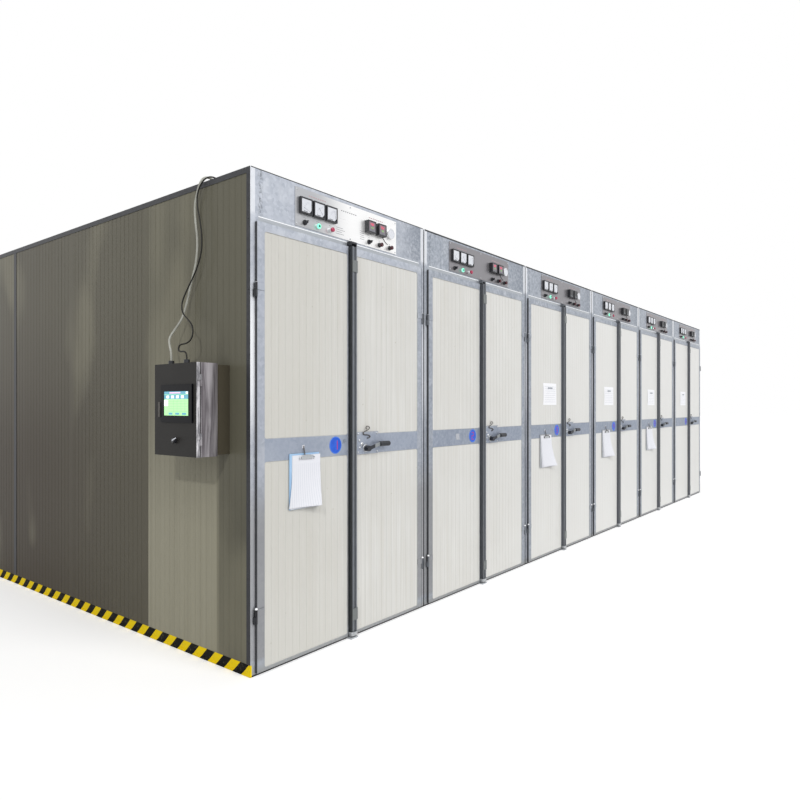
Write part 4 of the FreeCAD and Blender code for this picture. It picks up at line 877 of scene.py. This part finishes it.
for column in (0.374, 0.914):
    seat = np.array([column, plate_front, LOWER_ROW])
    knobs.append((*turned_shape(collar_ring, seat, TO_FRONT, 28), 0))
    turn = math.radians(-38)
    outline = np.array([(-4.5, -10), (0, -13.5), (4.5, -10), (4.5, 10), (0, 13.5), (-4.5, 10)]) / 1000.0
    outline = outline @ np.array([[math.cos(turn), math.sin(turn)], [-math.sin(turn), math.cos(turn)]])
    points = np.array([(x * grow, -distance, z * grow)
                       for distance, grow in ((0.003, 1.0), (0.025, 0.92), (0.028, 0.80)) for x, z in outline])
    faces = grid_faces(3, 6, wrap_columns=True) + [[5, 4, 3, 2, 1, 0], [12, 13, 14, 15, 16, 17]]
    knobs.append((points + seat, faces, 0))
    tip = np.array([column + 0.0086 * math.sin(-turn), LOWER_ROW + 0.0086 * math.cos(turn)])
    heart = np.array([column, LOWER_ROW])
    knobs.append((*bar_shape(heart, tip, 0.0014, plate_front - 0.0279, 0.0005), 1))
selectors = make_piece("dressed_selector_switches", in_bays(knobs), [black_plastic, white_card],
                       "black_plastic")
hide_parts("selector_switches")


# Plate markings: short lines engraved and filled with grey or faded red ink, with no words.
caption_grey = plain_finish("grey_engraving_ink", 160.0, 2.0, "76777B", "A4A5A9", 0.6)
caption_red = plain_finish("faded_red_engraving_ink", 160.0, 2.0, "B0898F", "CDB2B6", 0.6)
captions = [(start + 0.0175 * step, start + 0.0175 * step + 0.0110, height, 0.0050, number)
            for start, height, number in ((0.405, 2.548, 1), (0.915, 2.544, 1), (0.665, 2.530, 0))
            for step in range(8)]
captions += [(column - 0.009, column + 0.009, 2.4185, 0.0022, 0) for column in (*METERS, 0.914, 1.014, DIAL)]
captions += [(0.622, 0.622 + width, 2.424 - 0.012 * row, 0.0024, 0)
             for row, width in enumerate((0.060, 0.075, 0.048, 0.066))]
captions += [(0.832, 0.872, 2.446 - 0.012 * row, 0.0024, 0) for row in range(5)]
engraved = [(*bar_shape((left, height), (right, height), width, plate_front, 0.0003), number)
            for left, right, height, width, number in captions]
make_piece("plate_markings", in_bays(engraved), [caption_grey, caption_red], "white_face")


# Number discs: blue enamelled sheet metal tags with the chamber's number in red, on each left leaf's middle
# rail. A pale blue ring round each edge is a painted highlight.
disc_blue = plain_finish("blue_enamelled_tag", 30.0, 4.0, "0A45BC", "1E66DE", 0.3)
number_red = plain_finish("red_number_paint", 90.0, 3.0, "A02A62", "C43A78", 0.5)
disc_edge_highlight = plain_finish("pale_blue_painted_edge_highlight", 60.0, 3.0, "4E93E8", "8FC0F6", 0.4)
leaf_face = FRONT - 0.012
DISC_ACROSS = 0.609
DISC_UP = 1.153
tag = turned_shape([(0.0, 0.050), (0.0008, 0.050), (0.0014, 0.0488), (0.0014, 0.046)],
                   (DISC_ACROSS, leaf_face, DISC_UP), TO_FRONT, 40)
turn = np.linspace(0.0, 2 * math.pi, 40, endpoint=False)
# The pale ring round the edge is a painted highlight
edge = np.column_stack([DISC_ACROSS + 0.0475 * np.cos(turn), np.full(40, leaf_face - 0.0012),
                        DISC_UP + 0.0475 * np.sin(turn)])
edge_line = wire_shape(edge, 0.0010, (0, 1, 0), 6, closed=True)
for bay in range(BAYS):
    strokes = figures(str(bay + 1), 0.5960, 1.127, 0.052, leaf_face - 0.0014)
    on_leaves("number_disc_{}", "left", [tag, (*edge_line, 2)] + [(*stroke, 1) for stroke in strokes],
              [disc_blue, number_red, disc_edge_highlight], "cable_black", [bay])


# Notice sheets: A4 paper taped at its corners to the upper panels of four chambers, ruled but without words.
paper = plain_finish("office_paper", 25.0, 5.0, "EEEFF4", "FAFAFC", 0.8)
rule_ink = plain_finish("faded_rule_ink", 60.0, 2.0, "8A9099", "B9BEC6", 0.8)


def leaf_of_paper(corner, size, lift, sway, steps=(16, 20)):
    """A sheet hung from its top edge: at u across and v down, x = left + size * u + sway * v * v, z = top -
    height * v, and it stands off by lift(u, v); its back is 0.3 mm behind."""
    across, down = np.meshgrid(np.linspace(0, 1, steps[0]), np.linspace(0, 1, steps[1]), indexing="xy")
    front = np.stack([corner[0] + size[0] * across + sway * down ** 2, corner[1] - lift(across, down),
                      corner[2] - size[1] * down], axis=-1)
    points = np.concatenate([front.reshape(-1, 3), (front + (0.0, 0.0003, 0.0)).reshape(-1, 3)])
    count = steps[0] * steps[1]
    face = grid_faces(steps[1], steps[0])
    back = [[corner + count for corner in quad[::-1]] for quad in face]
    rim = np.concatenate([np.arange(steps[0]), np.arange(2, steps[1] + 1) * steps[0] - 1,
                          count - 2 - np.arange(steps[0] - 1),
                          np.arange(steps[1] - 2, 0, -1) * steps[0]]).tolist()
    sides = [[rim[i], rim[i - 1], rim[i - 1] + count, rim[i] + count] for i in range(len(rim))]
    return points, [quad[::-1] for quad in face] + [quad[::-1] for quad in back] + sides


panel_face = FRONT - 0.009
notice = leaf_of_paper((0.327, panel_face - 0.0008, 1.590), (0.275, 0.200),
                       lambda u, v: 0.0025 * np.sin(math.pi * v) * (1 - u) * 0.6 + 0.0012 * u * v, 0.002)
lines = [bar_shape((0.350, 1.578 - 0.020 * row), (0.580, 1.578 - 0.020 * row), 0.0012,
                   panel_face - 0.0042) for row in range(1, 9)]
heading = bar_shape((0.420, 1.546), (0.515, 1.546), 0.012, panel_face - 0.0043)
on_leaves("notice_sheet_{}", "left", [notice] + [(*line, 1) for line in lines + [heading]], [paper, rule_ink],
          "white_face", (2, 3, 4, 5))


# Sticker remnants on the middle rails of the first two chambers: a torn white label and a scrawl in black.
torn = leaf_of_paper((0.376, leaf_face - 0.0006, 1.176), (0.046, 0.044),
                     lambda u, v: 0.0006 * np.sin(9 * u) * np.cos(7 * v) + 0.0002, 0.006)
on_leaves("torn_label", "left", [torn], [fine_ink], "white_face", [1])
scrawl = [bar_shape(start, end, 0.0022, leaf_face)
          for first, peak, last in (((0.670, 1.158), (0.675, 1.183), (0.681, 1.160)),
                                    ((0.684, 1.162), (0.688, 1.186), (0.695, 1.168)))
          for start, end in ((first, peak), (peak, last))]
on_leaves("pen_scrawl", "left", scrawl, [ink], "cable_black", [0])


# Clipboards: a pale blue plastic board, or further on a grey hardboard, hung from a small hook on the middle
# rail, with a sprung steel clip that holds a few ruled A4 sheets whose free corners curl.
board_plastic = plain_finish("pale_blue_polystyrene", 20.0, 2.0, "8FB6DC", "A9CBEA", 0.3, ior=1.59)
board_grey = plain_finish("pale_grey_hardboard", 30.0, 2.0, "8F9298", "B4B7BC", 0.5)
ruled_paper, tree, place = new_finish("ruled_form_paper")
x, y, z = add(tree, "SeparateXYZ", {0: place}).outputs
ruling = add(tree, "Math", {0: x, 1: 0.0150}, operation="FLOORED_MODULO")
ruled = add(tree, "Math", {0: ruling, 1: 0.0022}, operation="LESS_THAN")
below_head = add(tree, "Math", {0: z, 1: 1.065}, operation="LESS_THAN")
ruled = add(tree, "Math", {0: ruled, 1: below_head}, operation="MULTIPLY")
tint = layer(tree, "E2E3E9", "CDD0D8", ruled)
shader = add(tree, "BsdfPrincipled", {"Base Color": tint, "Roughness": 0.8, "IOR": 1.5})
add(tree, "OutputMaterial", {"Surface": shader})
board = box_shape((0.250, leaf_face - 0.0046, 0.820), (0.472, leaf_face - 0.0016, 1.122))
clip = box_shape((0.332, leaf_face - 0.0125, 1.088), (0.413, leaf_face - 0.0080, 1.108))
turn = np.linspace(-0.5, math.pi + 0.5, 18)
loop = np.column_stack([0.3725 + 0.056 * np.cos(turn), np.full(18, leaf_face - 0.0125),
                        1.096 + 0.015 * np.sin(turn)])
loop = wire_shape(loop, 0.0030, (0, 1, 0), 8)
pad = box_shape((0.347, leaf_face - 0.0022, 1.148), (0.363, leaf_face, 1.166))
peg = wire_shape([(0.355, leaf_face - out, height)
                  for out, height in ((0.0040, 1.162), (0.0060, 1.146), (0.0100, 1.130), (0.0130, 1.112))],
                 0.0028, (1, 0, 0), 8)
for bay, lean in ((0, -0.030), (2, 0.034), (3, 0.034), (4, 0.034)):
    sheets = [leaf_of_paper((0.268 + 0.002 * number, leaf_face - 0.0052 - 0.0008 * number, 1.112),
                            (0.206, 0.290 - 0.004 * number),
                            lambda u, v, curl=curl: curl * v ** 2 * (0.12 + 0.88 * u ** 2), share * lean)
              for number, (curl, share) in enumerate(((0.018, 0.45), (0.030, 0.73), (0.046, 1.0)))]
    shapes = [board] + [(*shape, 1) for shape in sheets + [pad]]
    on_leaves("clipboard_{}", "left", shapes + [(*clip, 2), (*loop, 3 if bay else 2), (*peg, 3)],
              [board_grey if bay else board_plastic, ruled_paper, bolt_zinc, hook_wire], "white_face", [bay],
              rounding=0.0008)


# Control box: a stainless steel housing with painted reflections streaked down it, on a smaller dark olive rear
# box.
box_sheet, tree, place = new_finish("stainless_with_painted_reflections_and_olive_box")
x, y, z = add(tree, "SeparateXYZ", {0: place}).outputs
front_part = add(tree, "Math", {0: x, 1: WALL_FACE - 0.0795}, operation="LESS_THAN")
stretched = add(tree, "Mapping", {"Vector": place, "Scale": (30.0, 30.0, 2.6)})
# Paler upright streaks on the stainless are painted reflections
pale_pattern = add(tree, "TexNoise", {"Vector": stretched, "Scale": 1.0, "Detail": 3.0, "Distortion": 0.9})
reflection_share = add(tree, "MapRange", {"Value": pale_pattern, "From Min": 0.32, "From Max": 0.72}, **SMOOTH)
bright = layer(tree, "6A6569", "B9B4B8", reflection_share)
tint = layer(tree, "4A4539", bright, front_part)
metal = add(tree, "MapRange", {"Value": front_part, "To Min": 0.1, "To Max": 0.75})
shader = add(tree, "BsdfPrincipled", {"Base Color": tint, "Metallic": metal, "Roughness": 0.3,
                                      "Specular IOR Level": 0.3})
add(tree, "OutputMaterial", {"Surface": shader})
paint_node("control_box", box_sheet)


# Control box door: steel with a dark grey fine texture powder coat, its near black tone partly painted shade;
# its near edge is bare bright steel streaked with painted reflections. A black cam switch with a short steel
# handle, coloured white as a painted highlight, and a plated pull sit on it.
powder, tree, place = new_finish("dark_grey_powder_coat_with_painted_shade")
orange_peel = add(tree, "TexNoise", {"Vector": place, "Scale": 420.0, "Detail": 2.0})
cloud = add(tree, "TexNoise", {"Vector": place, "Scale": 9.0, "Detail": 4.0})
# Near black: the coat's grey darkened as painted shade
tint = layer(tree, "191715", "242220", cloud)
x, y, z = add(tree, "SeparateXYZ", {0: place}).outputs
# The near edge: bright steel with painted reflection streaks
near_edge = add(tree, "Math", {0: y, 1: 0.1394}, operation="LESS_THAN")
streaks = add(tree, "Mapping", {"Vector": place, "Scale": (60.0, 60.0, 14.0)})
edge_reflection_streaks = add(tree, "TexNoise", {"Vector": streaks, "Scale": 1.0, "Detail": 5.0})
edge_steel_and_reflections = layer(tree, "77767A", "DAD8DC", (edge_reflection_streaks, 0.4, 0.62))
tint = layer(tree, tint, edge_steel_and_reflections, near_edge)
relief = add(tree, "Bump", {"Strength": 0.2, "Distance": 0.0003, "Height": orange_peel})
shader = add(tree, "BsdfPrincipled", {"Base Color": tint, "Roughness": 0.5, "IOR": 1.5,
                                      "Specular IOR Level": 0.3, "Normal": relief})
add(tree, "OutputMaterial", {"Surface": shader})
paint_node("control_box_door", powder)
DOOR_FACE = -4.696
TO_LEFT = (-1.0, 0.0, 0.0)
SWITCH_SEAT = (DOOR_FACE, 0.326, 1.202)
switch_body = turned_shape([(0.0, 0.0146), (0.012, 0.0146), (0.0150, 0.0138), (0.0164, 0.0118),
                            (0.0166, 0.008)], SWITCH_SEAT, TO_LEFT, 28)
handle = np.array([(-0.0164, 0.002, -0.003), (-0.0164, -0.032, 0.011), (-0.0164, -0.034, 0.018),
                   (-0.0164, -0.002, 0.006)])
handle = np.concatenate([handle, handle + (-0.0034, 0.0, 0.0)]) + SWITCH_SEAT
pull = box_shape((DOOR_FACE - 0.0124, 0.4486, 1.3216), (DOOR_FACE, 0.4654, 1.4004))
# The switch handle takes the white card colour as a painted highlight
make_piece("door_switch_and_pull", [switch_body, (handle, BLOCK_FACES, 1), (*pull, 2)],
           [black_plastic, white_card, hook_wire], "box_door_steel", body="control_box_door", rounding=0.001)
bezel = plain_finish("blue_black_screen_bezel", 200.0, 2.0, "050509", "0D0D13", 0.28, ior=1.53, specular=0.15)
paint_node("touch_screen", bezel)
paint_node("cable_glands", black_plastic)


# Screen: a lit touch panel with a header band and a ruled table, without any words.
def screen_patch(near, far, low, high, lift):
    """A lit rectangle on the display, from near to far along the wall and low to high, facing left."""
    depth = -4.702 - lift
    return box_shape((depth, near, low), (depth + 0.0002, far, high))


near, far, low, high = 0.199, 0.417, 1.330, 1.456
parts = [(near + 0.001, far - 0.001, low + 0.001, high - 0.001, 0.0002, 0),
         (near + 0.001, far - 0.001, high - 0.016, high - 0.001, 0.0005, 3),
         (near + 0.070, far - 0.050, high - 0.011, high - 0.005, 0.0008, 2),
         (near + 0.004, near + 0.022, high - 0.014, high - 0.003, 0.0008, 1),
         (near + 0.001, far - 0.001, high - 0.040, high - 0.018, 0.0005, 3)]
parts += [(along, along + 0.024, high - 0.036, high - 0.022, 0.0008, 1)
          for along in (near + 0.040 + column * 0.044 for column in range(4))]
parts.append((far - 0.036, far - 0.001, low + 0.050, high - 0.044, 0.0005, 1))
parts += [(along, along + 0.036, low + 0.005, low + 0.016, 0.0008, 3)
          for along in (near + 0.020 + column * 0.060 for column in range(3))]
parts += [(near + 0.006, far - 0.040, level, level + 0.0012, 0.0008, 4)
          for level in (low + 0.022 + row * 0.013 for row in range(5))]
parts += [(along, along + 0.0012, low + 0.018, high - 0.044, 0.0008, 4)
          for along in (near + 0.030 + column * 0.034 for column in range(4))]
patches = [(*screen_patch(*sides), number) for *sides, number in parts]
screen_green = glowing("screen_pale_green", "A4E29C", 0.85)
screen_white = glowing("screen_white", "EEF4F2", 0.95)
screen_pink = glowing("screen_pink", "E8B6DA", 0.95)
screen_blue = glowing("screen_blue", "5E9CB0", 0.75)
screen_line = glowing("screen_lines", "7DBE86", 0.8)
make_piece("screen_picture", patches, [screen_green, screen_white, screen_pink, screen_blue, screen_line],
           "screen_bezel", body="control_box_door")


# Studio: a pale floor and plain soft light. The floor and the world show white to the camera and in gloss, and
# the floor keeps the row's shadow.
world = bpy.data.worlds.new("pale_studio")
world.use_nodes = True
tree = world.node_tree
tree.nodes.clear()
rays = add(tree, "LightPath")
seen = add(tree, "Math", {0: rays.outputs["Is Camera Ray"], 1: rays.outputs["Is Glossy Ray"]},
           operation="MAXIMUM")
soft = add(tree, "Background", {"Color": (1, 1, 1, 1), "Strength": 0.42})
white = add(tree, "Background", {"Color": (1, 1, 1, 1), "Strength": 1.0})
both = add(tree, "MixShader", {0: seen, 1: soft, 2: white})
add(tree, "OutputWorld", {"Surface": both})
bpy.context.scene.world = world
floor_paint, tree, place = new_finish("pale_studio_floor")
rays = add(tree, "LightPath")
matt = add(tree, "BsdfDiffuse", {"Color": (0.93, 0.93, 0.93, 1)})
glow = add(tree, "Emission", {"Color": (1, 1, 1, 1), "Strength": 0.3})
lifted = add(tree, "AddShader", {0: matt, 1: glow})
shown = add(tree, "MixShader", {0: rays.outputs["Is Camera Ray"], 1: matt, 2: lifted})
add(tree, "OutputMaterial", {"Surface": shown})
floor_mesh = bpy.data.meshes.new("studio_floor")
floor_mesh.from_pydata([(-90, -90, -0.001), (90, -90, -0.001), (90, 90, -0.001), (-90, 90, -0.001)], [],
                       [(0, 1, 2, 3)])
floor_mesh.materials.append(floor_paint)
floor = bpy.data.objects.new("studio_floor", floor_mesh)
bpy.context.collection.objects.link(floor)
for name, energy, angle, aim in (("high_soft_lamp", 1.4, 0.6, (-0.02, 0.81, -0.59)),
                                 ("weak_side_lamp", 0.8, 0.04, (0.70, 0.44, -0.56))):
    sun = bpy.data.lights.new(name, "SUN")
    sun.energy = energy
    sun.angle = angle
    sun_lamp = bpy.data.objects.new(name, sun)
    sun_lamp.rotation_euler = Vector(aim).to_track_quat("-Z", "Y").to_euler()
    bpy.context.collection.objects.link(sun_lamp)
